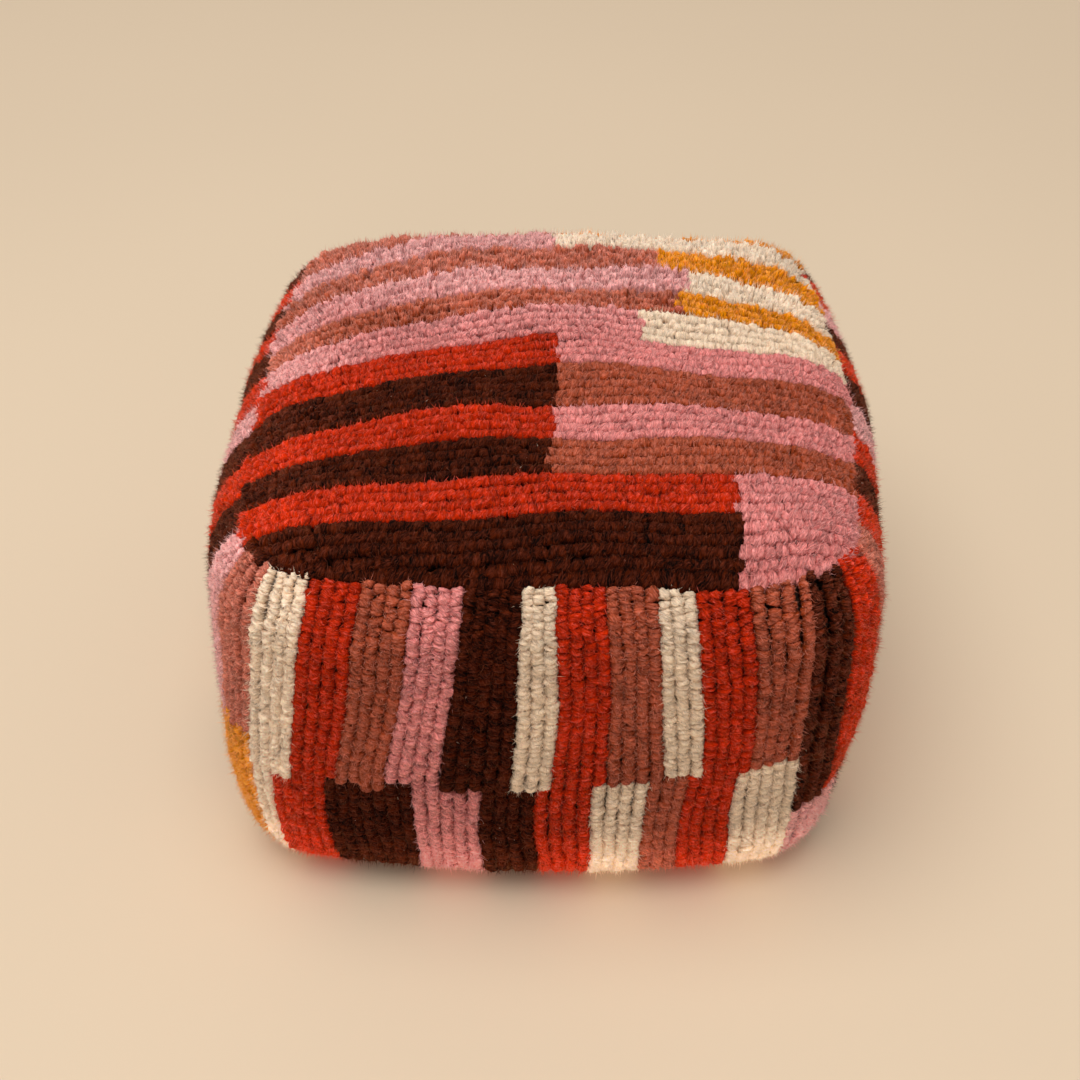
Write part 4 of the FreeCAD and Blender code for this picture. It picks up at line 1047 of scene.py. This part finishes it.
def shell(outer, inner, cloth, closed=False, caps=False):
    """Thin closed sheet between two grids: its points, its faces and the cloth's own measure."""
    rows, columns = outer.shape[:2]
    end = rows - 1
    points = np.concatenate([outer.reshape(-1, 3), inner.reshape(-1, 3)])
    at = lambda layer, i, j: layer * rows * columns + i * columns + j % columns
    spans = range(columns if closed else columns - 1)
    faces = []
    for i in range(end):
        for j in spans:
            faces.append([at(0, i, j), at(0, i, j + 1), at(0, i + 1, j + 1), at(0, i + 1, j)])
            faces.append([at(1, i + 1, j), at(1, i + 1, j + 1), at(1, i, j + 1), at(1, i, j)])
    for j in spans:
        faces.append([at(1, 0, j), at(1, 0, j + 1), at(0, 0, j + 1), at(0, 0, j)])
        if not caps:
            faces.append([at(0, end, j), at(0, end, j + 1), at(1, end, j + 1), at(1, end, j)])
    if caps:
        faces.append([at(0, end, j) for j in range(columns)])
        faces.append([at(1, end, j) for j in reversed(range(columns))])
    if not closed:
        for i in range(end):
            faces.append([at(0, i, 0), at(0, i + 1, 0), at(1, i + 1, 0), at(1, i, 0)])
            faces.append([at(layer, i + k, columns - 1) for layer, k in ((0, 1), (0, 0), (1, 0), (1, 1))])
    return points, faces, np.concatenate([cloth.reshape(-1, 3)] * 2)


def cloth_mesh(name, sheets):
    """Mesh of one or more sheets, with the cloth's own measure on its points."""
    faces, start = [], 0
    for points, more, _ in sheets:
        faces += [[v + start for v in face] for face in more]
        start += len(points)
    mesh = face_mesh(name, np.concatenate([points for points, _, _ in sheets]), faces)
    add_vectors(mesh, "cloth", np.concatenate([cloth for _, _, cloth in sheets]))
    return mesh


# Place along the stitch, girth and rise of its rings
STITCH_RINGS = [(-1.0, 0.25, -0.7), (-0.72, 0.85, 0.1), (0.0, 1.0, 0.45), (0.72, 0.85, 0.1),
                (1.0, 0.25, -0.7)]
STITCH_SIDES = 6


def stitch_mesh(name, middle, along, out, half, thick, draw):
    """Short round stitches that dive into the cloth at both ends."""
    along, out = unit(along), unit(out)
    aside = np.cross(along, out)
    total = len(middle)
    half = half * draw.uniform(0.9, 1.08, total)
    points, yarn = [], []
    for place, girth, rise in STITCH_RINGS:
        for k in range(STITCH_SIDES):
            turn = 2 * math.pi * k / STITCH_SIDES
            points.append(middle + along * (half * place)[:, None]
                          + aside * (thick * girth * math.cos(turn))
                          + out * (thick * (girth * math.sin(turn) + rise)))
            yarn.append(np.stack([half * place, np.full(total, thick * turn) + 0.6 * half * place,
                                  np.zeros(total)], -1))
    points, yarn = np.stack(points, 1), np.stack(yarn, 1)
    faces = []
    for r in range(len(STITCH_RINGS) - 1):
        for k in range(STITCH_SIDES):
            n = (k + 1) % STITCH_SIDES
            low, high = r * STITCH_SIDES, (r + 1) * STITCH_SIDES
            faces.append([low + k, low + n, high + n, high + k])
    last = (len(STITCH_RINGS) - 1) * STITCH_SIDES
    faces.append(list(range(STITCH_SIDES))[::-1])
    faces.append([last + k for k in range(STITCH_SIDES)])
    corners = np.array([v for face in faces for v in face])
    counts = [len(face) for face in faces]
    size = points.shape[1]
    yarn = yarn + draw.uniform(0, 9, (total, 1, 3))
    mesh = new_mesh(name, points.reshape(-1, 3),
                    (np.arange(total)[:, None] * size + corners).ravel(), np.tile(counts, total))
    add_vectors(mesh, "yarn", yarn.reshape(-1, 3))
    add_floats(mesh, "sunk", np.zeros(total * size))
    add_floats(mesh, "tint", np.repeat(draw.uniform(0, 1, total), size))
    return mesh


def run_lengths(points):
    """Distance along a run of points to each of them."""
    return np.concatenate([[0], np.cumsum(np.linalg.norm(np.diff(points, axis=0), axis=1))])


def on_run(points, ends, at):
    """Places at distances along a run of points."""
    return np.stack([np.interp(at, ends, points[:, k]) for k in range(3)], -1)


def along_line(points, pitch, closed=False):
    """Places at an even pitch on a run of points, with its direction there."""
    if closed:
        points = np.concatenate([points, points[:1]])
    ends = run_lengths(points)
    count = max(int(ends[-1] / pitch), 1)
    s = (np.arange(count) + 0.5) * ends[-1] / count
    which = np.clip(np.searchsorted(ends, s) - 1, 0, len(ends) - 2)
    return on_run(points, ends, s), unit(np.diff(points, axis=0)[which])


GROUND_DEPTH = 0.0182
GROUND_THICK = 0.0024
# Points along and down the cloth of a side, how far it goes over the top seam, and the top's rings
CLOTH_GRID = (72, 40)
CLOTH_LAP = 0.003
TOP_RINGS = 7
TOP_SCALES = (0.86, 0.7, 0.54, 0.38, 0.22, 0.06)


def top_ring(angle, depth):
    """Outline of the top's rounded edge at an angle of its arc and a depth under the tips."""
    reach = TOP_EDGE - depth
    return ring_points(TOP_T - reach * math.cos(angle), TOP_Z + reach * math.sin(angle))


def top_cloth(depth):
    """Grid of rings over the top at a depth under the tips, from its seam to the middle."""
    rings = [top_ring(a, depth) for a in np.linspace(TOP_SEAM_ANGLE, RIM_ANGLE, TOP_RINGS)]
    return np.stack(rings + crown_rings(rings[-1], TOP_SCALES))


def side_cloth(panel, depth):
    """Grid over a side panel at a depth under the tips, and the cloth's own measure."""
    runs = side_runs(panel)
    length = path_length(runs)
    s, q = np.meshgrid(np.linspace(0, length, CLOTH_GRID[0]),
                       np.linspace(-CLOTH_LAP, SIDE_DROP, CLOTH_GRID[1]))
    points, _, _ = on_side(runs, s, q, np.full(s.shape, depth))
    return points, np.stack([s, q, np.zeros_like(s)], -1), (length, SIDE_DROP)


class PoufGroundCloth(bpy.types.Operator):
    """Stretch the woven ground of the five wool panels under their pile"""
    bl_idname = "pouf.ground_cloth"
    bl_label = "Ground cloth"

    def execute(self, context):
        material = cloth_material("ground_weave", context.scene.pouf_colours.ground, threads=900, slub=0.25)
        outer, inner = top_cloth(GROUND_DEPTH), top_cloth(GROUND_DEPTH + GROUND_THICK)
        sheet = shell(soft_shift(outer), soft_shift(inner), outer * (1, 1, 0), closed=True, caps=True)
        mesh = cloth_mesh("top_ground_cloth", [sheet])
        piece = place_piece(mesh, material, ["top_ground"])
        for panel in PANELS:
            outer, cloth, flat = side_cloth(panel, GROUND_DEPTH)
            inner, _, _ = side_cloth(panel, GROUND_DEPTH + GROUND_THICK)
            mesh = cloth_mesh(f"{panel}_ground_cloth", [shell(soft_shift(outer), soft_shift(inner), cloth)])
            piece = place_piece(mesh, material, [f"{panel}_ground"])
        return {"FINISHED"}


THREAD_DEPTH = 0.0214
STITCH_PITCH = 0.0062
STITCH_HALF = 0.0036
STITCH_THICK = 0.0007
ZIGZAG = 0.45
# Where a corner seam starts under the top seam and stops above the foot, and the points on it
SEAM_FROM = 0.004
SEAM_STOP = 0.012
SEAM_POINTS = 60
# The base seam's place inside and under the canvas rim
BASE_SEAM_IN = 0.0026
BASE_SEAM_UNDER = 0.003


class PoufSeamThread(bpy.types.Operator):
    """Sew the top seam, the corner seams and the base seam"""
    bl_idname = "pouf.seam_thread"
    bl_label = "Seam thread"

    def execute(self, context):
        material = thread_material(context.scene.pouf_colours.thread)
        draw = np.random.default_rng(context.scene.pouf_pile.seed + 7)
        place, along = along_line(top_ring(TOP_SEAM_ANGLE, THREAD_DEPTH), STITCH_PITCH, True)
        self.sew("top_seam_stitches", "top_seam_thread", place, along, material, draw)
        lines = []
        for panel in PANELS:
            runs = side_runs(panel)
            q = np.linspace(SEAM_FROM, SIDE_DROP - SEAM_STOP, SEAM_POINTS)
            s = np.full(len(q), path_length(runs) + CORNER_GAP)
            lines.append(along_line(on_side(runs, s, q, np.full(len(q), THREAD_DEPTH))[0], STITCH_PITCH))
        place, along = (np.concatenate(part) for part in zip(*lines))
        self.sew("corner_seam_stitches", "corner_seam_threads", place, along, material, draw)
        ring = ring_points(CANVAS_INSET + BASE_SEAM_IN, CANVAS_RIM - BASE_SEAM_UNDER)
        place, along = along_line(ring, STITCH_PITCH, True)
        self.sew("base_seam_stitches", "base_seam_thread", place, along, material, draw)
        return {"FINISHED"}

    def sew(self, name, replaced, place, along, material, draw):
        """One piece of zigzag stitches along a seam."""
        out = unit(place * (1, 1, 0))
        out = unit(out - along * np.sum(out * along, -1, keepdims=True))
        aside = np.cross(along, out)
        zigzag = np.where(np.arange(len(place)) % 2, ZIGZAG, -ZIGZAG)[:, None]
        moved = soft_shift(place)
        mesh = stitch_mesh(name, moved, along + aside * zigzag, out, STITCH_HALF, STITCH_THICK, draw)
        place_piece(mesh, material, [replaced])


# Canvas base and zip

CANVAS_INSET = BASE_T - BASE_EDGE * math.cos(BASE_END) + 0.0002
CANVAS_RIM = 0.018
CANVAS_THICK = 0.0016
CANVAS_FLOOR = 0.0002
ZIP_AT = 0.15
TROUGH_HALF = 0.017
TROUGH_DEPTH = 0.01
ZIP_END = 0.195
TAB_FROM = 0.1765
RIM_POINTS = 120
FOLD_POINTS = 90
# Inset past the rim and height of the canvas, from its sewn edge over the round foot
CANVAS_STEPS = [(0.0, CANVAS_RIM), (0.0, 0.013), (0.0001, 0.009), (0.0008, 0.0055), (0.0024, 0.0026),
                (0.0048, 0.0009), (0.0078, 0.0003), (0.013, CANVAS_FLOOR)]
# Rings of the flat bottom as shares of its outline, the last one under the fold
CANVAS_SCALES = (0.86, 0.7, 0.5, 0.3, 0.1, 0.018)
# Distance from the trough and height of the upturned fold, and how its thickness goes aside and up
FOLD_PROFILE = [(0.008, 0.0003, 0, 1), (0.003, 0.0003, 0.2, 1), (0.0012, 0.0006, 0.7, 0.9),
                (0.0003, 0.0016, 1, 0.5), (0.0, 0.003, 1, 0.1), (0.0, 0.0066, 1, 0),
                (0.0, TROUGH_DEPTH, 1, 0)]
FOLD_STEP = 0.004
# Gathers along the sewn edge, and how they fade ring by ring over the foot
GATHER_DEPTH = 0.0003
GATHER_VARIES = 0.00012
GATHER_FADE = [1, 0.9, 0.7, 0.4, 0.15]
# The folds at the trough's ends stop short of the canvas edge and clear the floor
END_SHORT = 0.001
END_LIFT = 0.0004
# Stitches beside the trough: distance from it, from the ends and apart, half length and thickness
TOPSTITCH_IN = 0.0055
TOPSTITCH_END = 0.02
TOPSTITCH_PITCH = 0.0042
TOPSTITCH_HALF = 0.0016
TOPSTITCH_THICK = 0.0004


def canvas_ring(inset, z, line, front):
    """Points of the base outline on one side of the zip's trough, from one end to the other."""
    ring = ring_points(CANVAS_INSET + inset, z)
    ring = np.concatenate([ring, ring[:1]])
    fine = np.concatenate([a + (b - a) * np.linspace(0, 1, 8)[:-1, None] for a, b in zip(ring, ring[1:])])
    mine = fine[fine[:, 1] <= line] if front else fine[fine[:, 1] >= line]
    turn = np.unwrap(np.arctan2(mine[:, 1], mine[:, 0]))
    order = np.argsort(np.mod(turn - (math.pi / 2 if front else -math.pi / 2), 2 * math.pi))
    mine = mine[order]
    mine[0, 1] = mine[-1, 1] = line
    ends = run_lengths(mine)
    return on_run(mine, ends, np.linspace(0, ends[-1], RIM_POINTS))


def canvas_panel(line, front, draw):
    """Sheets of the canvas on one side of the trough: foot and flat bottom, and the upturned fold."""
    middle = np.array([0, line, CANVAS_FLOOR])
    rings = [canvas_ring(inset, z, line, front) for inset, z in CANVAS_STEPS]
    last = rings[-1]
    rings += [middle + (last - middle) * k for k in CANVAS_SCALES]
    outer = np.stack(rings)
    wave = np.sin(np.arange(RIM_POINTS) * 1.9) * GATHER_DEPTH + draw.normal(0, GATHER_VARIES, RIM_POINTS)
    fade = np.array(GATHER_FADE + [0] * (len(rings) - len(GATHER_FADE)))
    inward = unit((middle - outer) * (1, 1, 0))
    outer = outer + inward * (np.abs(wave)[None] * fade[:, None])[..., None]
    flat = np.array([z < 0.001 for _, z in CANVAS_STEPS] + [True] * len(CANVAS_SCALES))
    inner = outer + inward * np.where(flat, 0, CANVAS_THICK)[:, None, None]
    inner[..., 2] += np.where(flat, CANVAS_THICK, CANVAS_THICK * 0.5)[:, None]
    inner[:2, :, 2] -= CANVAS_THICK * 0.5
    measure = outer.copy()
    measure[..., 2] = 0
    body = shell(outer, inner, measure)
    way = -1 if front else 1
    reach = abs(outer[5, 0, 0])
    x = np.linspace(-reach, reach, FOLD_POINTS)
    level = np.zeros(FOLD_POINTS)
    fold = np.stack([np.stack([x, level + line + way * y, level + z], -1) for y, z, _, _ in FOLD_PROFILE])
    thick = np.array([(0, way * CANVAS_THICK * aside, CANVAS_THICK * up) for _, _, aside, up in FOLD_PROFILE])
    run = np.stack([x, level, level], -1)
    cloth = np.stack([run + (0, FOLD_STEP * k, 0) for k in range(len(FOLD_PROFILE))])
    return [body, shell(fold, fold + thick[:, None], cloth)]


def tab_shell(low, high, rows=8, columns=24, sag=0.0):
    """Sheet of a flat cloth tab between two corners, its edges rounded over."""
    low, high = np.array(low), np.array(high)
    a = np.concatenate([[0, 0.004, 0.014], np.linspace(0.04, 0.96, columns), [0.986, 0.996, 1]])
    b = np.concatenate([[0, 0.02, 0.07], np.linspace(0.14, 0.86, rows), [0.93, 0.98, 1]])
    x, y = np.meshgrid(low[0] + (high[0] - low[0]) * a, low[1] + (high[1] - low[1]) * b)
    thick = (high[2] - low[2]) / 2
    edge = np.minimum(np.minimum(x - low[0], high[0] - x), np.minimum(y - low[1], high[1] - y))
    bulge = thick * np.sqrt(np.clip(1 - (1 - np.clip(edge / thick, 0, 1)) ** 2, 0, 1))
    middle = low[2] + thick + sag * np.sin(x * 90) * np.sin(y * 400)
    bulge = np.maximum(bulge, 0.15 * thick)
    upper, lower = (np.stack([x, y, middle + way * bulge], -1) for way in (1, -1))
    return shell(upper, lower, np.stack([x, y, np.zeros_like(x)], -1))


class PoufBaseCanvas(bpy.types.Operator):
    """Lay the canvas base in two panels with the folded trough of the zip between them"""
    bl_idname = "pouf.base_canvas"
    bl_label = "Base canvas"

    def execute(self, context):
        colours = context.scene.pouf_colours
        material = cloth_material("base_canvas_weave", colours.canvas, threads=620, slub=0.3, dust=0.35)
        draw = np.random.default_rng(context.scene.pouf_pile.seed + 5)
        front, rear = ZIP_AT - TROUGH_HALF, ZIP_AT + TROUGH_HALF
        edge = HALF - CANVAS_INSET
        for name, replaced, line, is_front in (("base_canvas_main", "base_main_panel", front, True),
                                               ("base_canvas_rear", "base_rear_strip", rear, False)):
            mesh = cloth_mesh(name, canvas_panel(line, is_front, draw))
            piece = place_piece(mesh, material, [replaced])
        ends = ((-edge + END_SHORT, -ZIP_END), (ZIP_END, edge - END_SHORT))
        tabs = [tab_shell((a, front, END_LIFT), (b, rear, TROUGH_DEPTH)) for a, b in ends]
        mesh = cloth_mesh("base_canvas_end_folds", tabs)
        piece = place_piece(mesh, material, ["base_end_folds"])
        reach = edge - TOPSTITCH_END
        lines = [along_line(np.array([[x, y, CANVAS_FLOOR] for x in (-reach, reach)]), TOPSTITCH_PITCH)
                 for y in (front - TOPSTITCH_IN, rear + TOPSTITCH_IN)]
        place, along = (np.concatenate(part) for part in zip(*lines))
        down = np.tile([0.0, 0.0, -1.0], (len(place), 1))
        mesh = stitch_mesh("base_topstitch", place + (0, 0, TOPSTITCH_THICK), along, down, TOPSTITCH_HALF,
                           TOPSTITCH_THICK, draw)
        place_piece(mesh, thread_material(colours.thread))
        return {"FINISHED"}


class PoufZipTape(bpy.types.Operator):
    """Lay the two zip tapes and the tabs at their ends"""
    bl_idname = "pouf.zip_tape"
    bl_label = "Zip tape"

    def execute(self, context):
        material = cloth_material("zip_tape_weave", context.scene.pouf_colours.tape, threads=1500, slub=0.2)
        for name in ("front", "rear"):
            node_name = f"zip_tape_{name}"
            low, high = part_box(node_name)
            mesh = cloth_mesh(f"{node_name}_cloth", [tab_shell(low, high, rows=12, columns=120, sag=0.00006)])
            piece = place_piece(mesh, material, [node_name])
        low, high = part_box("zip_end_tabs")
        ends = ((low.x, -TAB_FROM), (TAB_FROM, high.x))
        tabs = [tab_shell((a, low.y, low.z), (b, high.y, high.z)) for a, b in ends]
        piece = place_piece(cloth_mesh("zip_end_tab_cloth", tabs), material, ["zip_end_tabs"])
        return {"FINISHED"}


class PoufZipMetal(bpy.types.Operator):
    """Give the zip's teeth, stops, slider, pin and pull their aged brass"""
    bl_idname = "pouf.zip_metal"
    bl_label = "Zip metal"

    def execute(self, context):
        brass = brass_material(context.scene.pouf_colours.brass)
        for name in ("zip_teeth_front", "zip_teeth_rear", "zip_top_stops", "zip_bottom_stop",
                     "zip_slider", "zip_pull_pin", "zip_pull"):
            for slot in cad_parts[name].material_slots:
                slot.material = brass
        return {"FINISHED"}


# Inner cushion

BAG_DEPTH = 0.027
BAG_FLOOR = 0.0024
BAG_THICK = 0.003
FLOOR_RINGS = 22
# Rise of the cushion's floor over the zip, and how far from the zip it starts and stops to fall
HOLLOW_RISE = 0.0152
HOLLOW_EDGE = (0.03, 0.05)
# Rings of the cushion up its side, and over its crown as shares of the rim
WALL_RINGS = 22
CROWN_SCALES = (0.8, 0.6, 0.4, 0.2, 0.05)
# How far the cushion's foot and wall stand inside the canvas, its middle, and how fine its crumples are
FOOT_IN = 0.018
WALL_IN = 0.0074
CUSHION_MIDDLE = (0, 0, 0.19)
CRUMPLES = (40, 70, 110, 160)


def cushion_rings(depth, floor):
    """Rings of the inner cushion from its foot to its crown, a depth under the tips."""
    foot = CANVAS_INSET + FOOT_IN + depth - BAG_DEPTH
    sole = ring_points(foot, floor)
    rings = [sole * (scale, scale, 1) for scale in np.linspace(0.05, 1, FLOOR_RINGS)]
    rings += [ring_points(foot - 0.008, floor + 0.004),
              ring_points(CANVAS_INSET + WALL_IN + depth - BAG_DEPTH, CANVAS_RIM + depth - BAG_DEPTH)]
    for q in np.linspace(SIDE_DROP - 0.055, 0.004, WALL_RINGS):
        inset, z, tilt = (float(v) for v in on_profile(np.array(q)))
        rings.append(ring_points(inset + depth * math.cos(tilt), z - depth * math.sin(tilt)))
    rings += [top_ring(a, depth) for a in np.linspace(TOP_SEAM_ANGLE, RIM_ANGLE, 5)]
    return np.stack(rings + crown_rings(rings[-1], CROWN_SCALES))


def cushion_mesh(name, depth, floor, draw, crumple):
    """Closed form of the cushion, hollowed along the zip and softly crumpled."""
    rings = cushion_rings(depth, floor)
    rows, columns = rings.shape[:2]
    over_zip = 1 - ease(np.abs(rings[..., 1] - ZIP_AT), *HOLLOW_EDGE)
    rings[..., 2] = np.maximum(rings[..., 2], floor + HOLLOW_RISE * over_zip)
    wave = sum(np.sin(rings @ draw.normal(0, scale, 3) + draw.uniform(0, 6)) for scale in CRUMPLES)
    rings = rings + unit(CUSHION_MIDDLE - rings) * (crumple * (1 + 0.25 * wave))[..., None]
    points = rings.reshape(-1, 3)
    at = lambda i, j: i * columns + j % columns
    faces = [[at(i, j), at(i, j + 1), at(i + 1, j + 1), at(i + 1, j)]
             for i in range(rows - 1) for j in range(columns)]
    faces.append([at(0, j) for j in reversed(range(columns))])
    faces.append([at(rows - 1, j) for j in range(columns)])
    mesh = face_mesh(name, points, faces)
    add_vectors(mesh, "cloth", np.stack([np.arctan2(points[:, 1], points[:, 0]) * 0.25, points[:, 2],
                                         np.zeros(len(points))], -1))
    return mesh


class PoufInnerCushion(bpy.types.Operator):
    """Fill the cover with its stuffed inner bag"""
    bl_idname = "pouf.inner_cushion"
    bl_label = "Inner cushion"

    def execute(self, context):
        colours = context.scene.pouf_colours
        draw = np.random.default_rng(context.scene.pouf_pile.seed + 3)
        mesh = cushion_mesh("inner_bag_cloth", BAG_DEPTH, BAG_FLOOR, draw, crumple=0.0012)
        calico = cloth_material("bag_calico", colours.bag, threads=1100, slub=0.15)
        place_piece(mesh, calico, ["inner_bag"])
        mesh = cushion_mesh("filling_fibre_mass", BAG_DEPTH + BAG_THICK, BAG_FLOOR + BAG_THICK, draw,
                            crumple=0.002)
        fluff = cloth_material("filling_fluff", colours.filling, threads=300, slub=0.5)
        place_piece(mesh, fluff, ["filling"])
        return {"FINISHED"}


# Pile and stage

class PoufTopPile(bpy.types.Operator):
    """Lay the tufts of the top panel in their rows"""
    bl_idname = "pouf.top_pile"
    bl_label = "Top pile"

    def execute(self, context):
        pile = context.scene.pouf_pile
        lay_pile("top", top_tufts(pile), pile)
        return {"FINISHED"}


class PoufSidePile(bpy.types.Operator):
    """Lay the tufts of the four side panels in their columns"""
    bl_idname = "pouf.side_pile"
    bl_label = "Side pile"

    def execute(self, context):
        pile = context.scene.pouf_pile
        for panel in PANELS:
            lay_pile(panel, side_tufts(panel, pile), pile)
        return {"FINISHED"}


class PoufStage(bpy.types.Operator):
    """Set the floor, the light and the camera"""
    bl_idname = "pouf.stage"
    bl_label = "Stage"

    def execute(self, context):
        scene = context.scene
        stage = scene.pouf_stage
        make_floor(stage)
        make_light(scene, stage)
        make_camera(scene)
        scene.view_settings.view_transform = "Standard"
        return {"FINISHED"}


FLOOR_REACH = 9.0
FLOOR_CLOUDS = (0.97, 1.03)
# Distances over which the floor fades into the backdrop
FADE_FROM = 2.2
FADE_TO = 6.0
# The floor is clear to light that the base gets from closer than this, so that it isn't black
# from below
BASE_LIGHT_REACH = 0.018


def shown_rays(tree):
    """1 for the rays of the camera and of gloss, which see the backdrop, and the other facts of a ray."""
    ray = node(tree, "ShaderNodeLightPath").outputs
    return calc(tree, "MAXIMUM", ray["Is Camera Ray"], ray["Is Glossy Ray"]), ray


def make_floor(stage):
    """Large plain floor that is clear from below, so that the base can be looked at."""
    r = FLOOR_REACH
    mesh = face_mesh("floor", [(-r, -r, 0), (r, -r, 0), (r, r, 0), (-r, r, 0)], [[0, 1, 2, 3]])
    floor = bpy.data.objects.new("floor", mesh)
    bpy.context.scene.collection.objects.link(floor)
    material, tree, shader, output = new_material("floor_paper")
    place = object_place(tree)
    cloud = noise(tree, place, 1.3, 1.0)
    low, high = ((*[min(c * k, 1) for c in stage.floor], 1) for k in FLOOR_CLOUDS)
    set_inputs(tree, shader, {"Base Color": blend_colour(tree, cloud, low, high), "Roughness": 0.9,
                              "Specular IOR Level": 0.05})
    shown, ray = shown_rays(tree)
    close = calc(tree, "LESS_THAN", ray["Ray Length"], BASE_LIGHT_REACH)
    behind = calc(tree, "MAXIMUM", node(tree, "ShaderNodeNewGeometry").outputs["Backfacing"],
                  calc(tree, "MULTIPLY", ray["Is Diffuse Ray"], close))
    away = node(tree, "ShaderNodeVectorMath", {0: place}, operation="LENGTH").outputs["Value"]
    far = node(tree, "ShaderNodeMapRange", {"Value": away, "From Min": FADE_FROM, "From Max": FADE_TO},
               interpolation_type="SMOOTHSTEP").outputs[0]
    paper = node(tree, "ShaderNodeEmission", {"Color": (*stage.backdrop, 1)})
    faded = blend_shader(tree, calc(tree, "MULTIPLY", far, shown), shader, paper)
    mixed = blend_shader(tree, behind, faded, node(tree, "ShaderNodeBsdfTransparent"))
    set_inputs(tree, output, {0: mixed.outputs[0]})
    mesh.materials.append(material)


SKY_COLOUR = (1.0, 0.91, 0.83, 1)
LAMP_COLOUR = (1.0, 0.985, 0.945)
LAMP_AIM = Vector((0.0, 0.05, 0.2))
# Size and place of the soft lamp above and of the low one in front
LAMPS = {"key": (4.5, (-0.7, -0.9, 4.9)), "front": (0.9, (-0.2, -3.5, 1.75))}


def make_light(scene, stage):
    """Even light from all round, a large soft lamp above and a small low one in front."""
    world = bpy.data.worlds.new("studio")
    world.use_nodes = True
    tree = world.node_tree
    tree.nodes.clear()
    way = node(tree, "ShaderNodeTexCoord").outputs["Generated"]
    under = calc(tree, "LESS_THAN", node(tree, "ShaderNodeSeparateXYZ", {0: way}).outputs[2], 0.0)
    level = calc(tree, "MULTIPLY_ADD", under, stage.base_level - stage.sky_level, stage.sky_level)
    even = node(tree, "ShaderNodeBackground", {"Color": SKY_COLOUR, "Strength": level})
    seen = node(tree, "ShaderNodeBackground", {"Color": (*stage.backdrop, 1), "Strength": 1.0})
    mixed = blend_shader(tree, shown_rays(tree)[0], even, seen)
    node(tree, "ShaderNodeOutputWorld", {"Surface": mixed.outputs[0]})
    scene.world = world
    for name, (size, place) in LAMPS.items():
        lamp = bpy.data.lights.new(name, "AREA")
        lamp.shape = "DISK"
        lamp.size = size
        lamp.energy = getattr(stage, f"{name}_power")
        lamp.color = LAMP_COLOUR
        held = bpy.data.objects.new(name, lamp)
        held.location = place
        held.rotation_mode = "QUATERNION"
        held.rotation_quaternion = (LAMP_AIM - Vector(place)).to_track_quat("-Z", "Y")
        scene.collection.objects.link(held)


CAMERA_AT = (0.0251, -1.0177, 1.0842)
CAMERA_FORWARD = (-0.0172, 0.7461, -0.6656)
CAMERA_UP = (-0.0084, 0.6656, 0.7463)
CAMERA_LENS = 49.28
CAMERA_SENSOR = 36.0


def make_camera(scene):
    """Camera at the place and turn fitted to the photograph."""
    forward, up = Vector(CAMERA_FORWARD).normalized(), Vector(CAMERA_UP)
    right = forward.cross(up).normalized()
    up = right.cross(forward)
    turn = Matrix((right, up, -forward)).transposed().to_4x4()
    data = bpy.data.cameras.new("camera")
    data.lens = CAMERA_LENS
    data.sensor_width = CAMERA_SENSOR
    camera = bpy.data.objects.new("camera", data)
    camera.matrix_world = Matrix.Translation(CAMERA_AT) @ turn
    scene.collection.objects.link(camera)
    scene.camera = camera


class PoufPanel(bpy.types.Panel):
    """Sidebar list of the steps that build the pouf"""
    bl_idname = "VIEW3D_PT_pouf"
    bl_label = "Tufted pouf"
    bl_space_type = "VIEW_3D"
    bl_region_type = "UI"
    bl_category = "Pouf"

    def draw(self, context):
        for operator in OPERATORS:
            self.layout.operator(operator.bl_idname)
        for settings in ("pouf_pile", "pouf_colours", "pouf_stage"):
            group = getattr(context.scene, settings)
            box = self.layout.box()
            for name in group.__annotations__:
                box.prop(group, name)


OPERATORS = [PoufTopPile, PoufSidePile, PoufGroundCloth, PoufSeamThread, PoufBaseCanvas, PoufZipTape,
             PoufZipMetal, PoufInnerCushion, PoufStage]
SETTINGS = {"pouf_pile": PoufPileSettings, "pouf_colours": PoufColourSettings,
            "pouf_stage": PoufStageSettings}


def register():
    """Add the classes and the settings to Blender."""
    for kind in [*SETTINGS.values(), *OPERATORS, PoufPanel]:
        bpy.utils.register_class(kind)
    for name, kind in SETTINGS.items():
        setattr(bpy.types.Scene, name, bpy.props.PointerProperty(type=kind))


def unregister():
    """Take the settings and the classes away again."""
    for name in SETTINGS:
        delattr(bpy.types.Scene, name)
    for kind in reversed([*SETTINGS.values(), *OPERATORS, PoufPanel]):
        bpy.utils.unregister_class(kind)


def main():
    register()
    for operator in OPERATORS:
        group, step = operator.bl_idname.split(".")
        getattr(getattr(bpy.ops, group), step)()


if __name__ == "__main__":
    main()
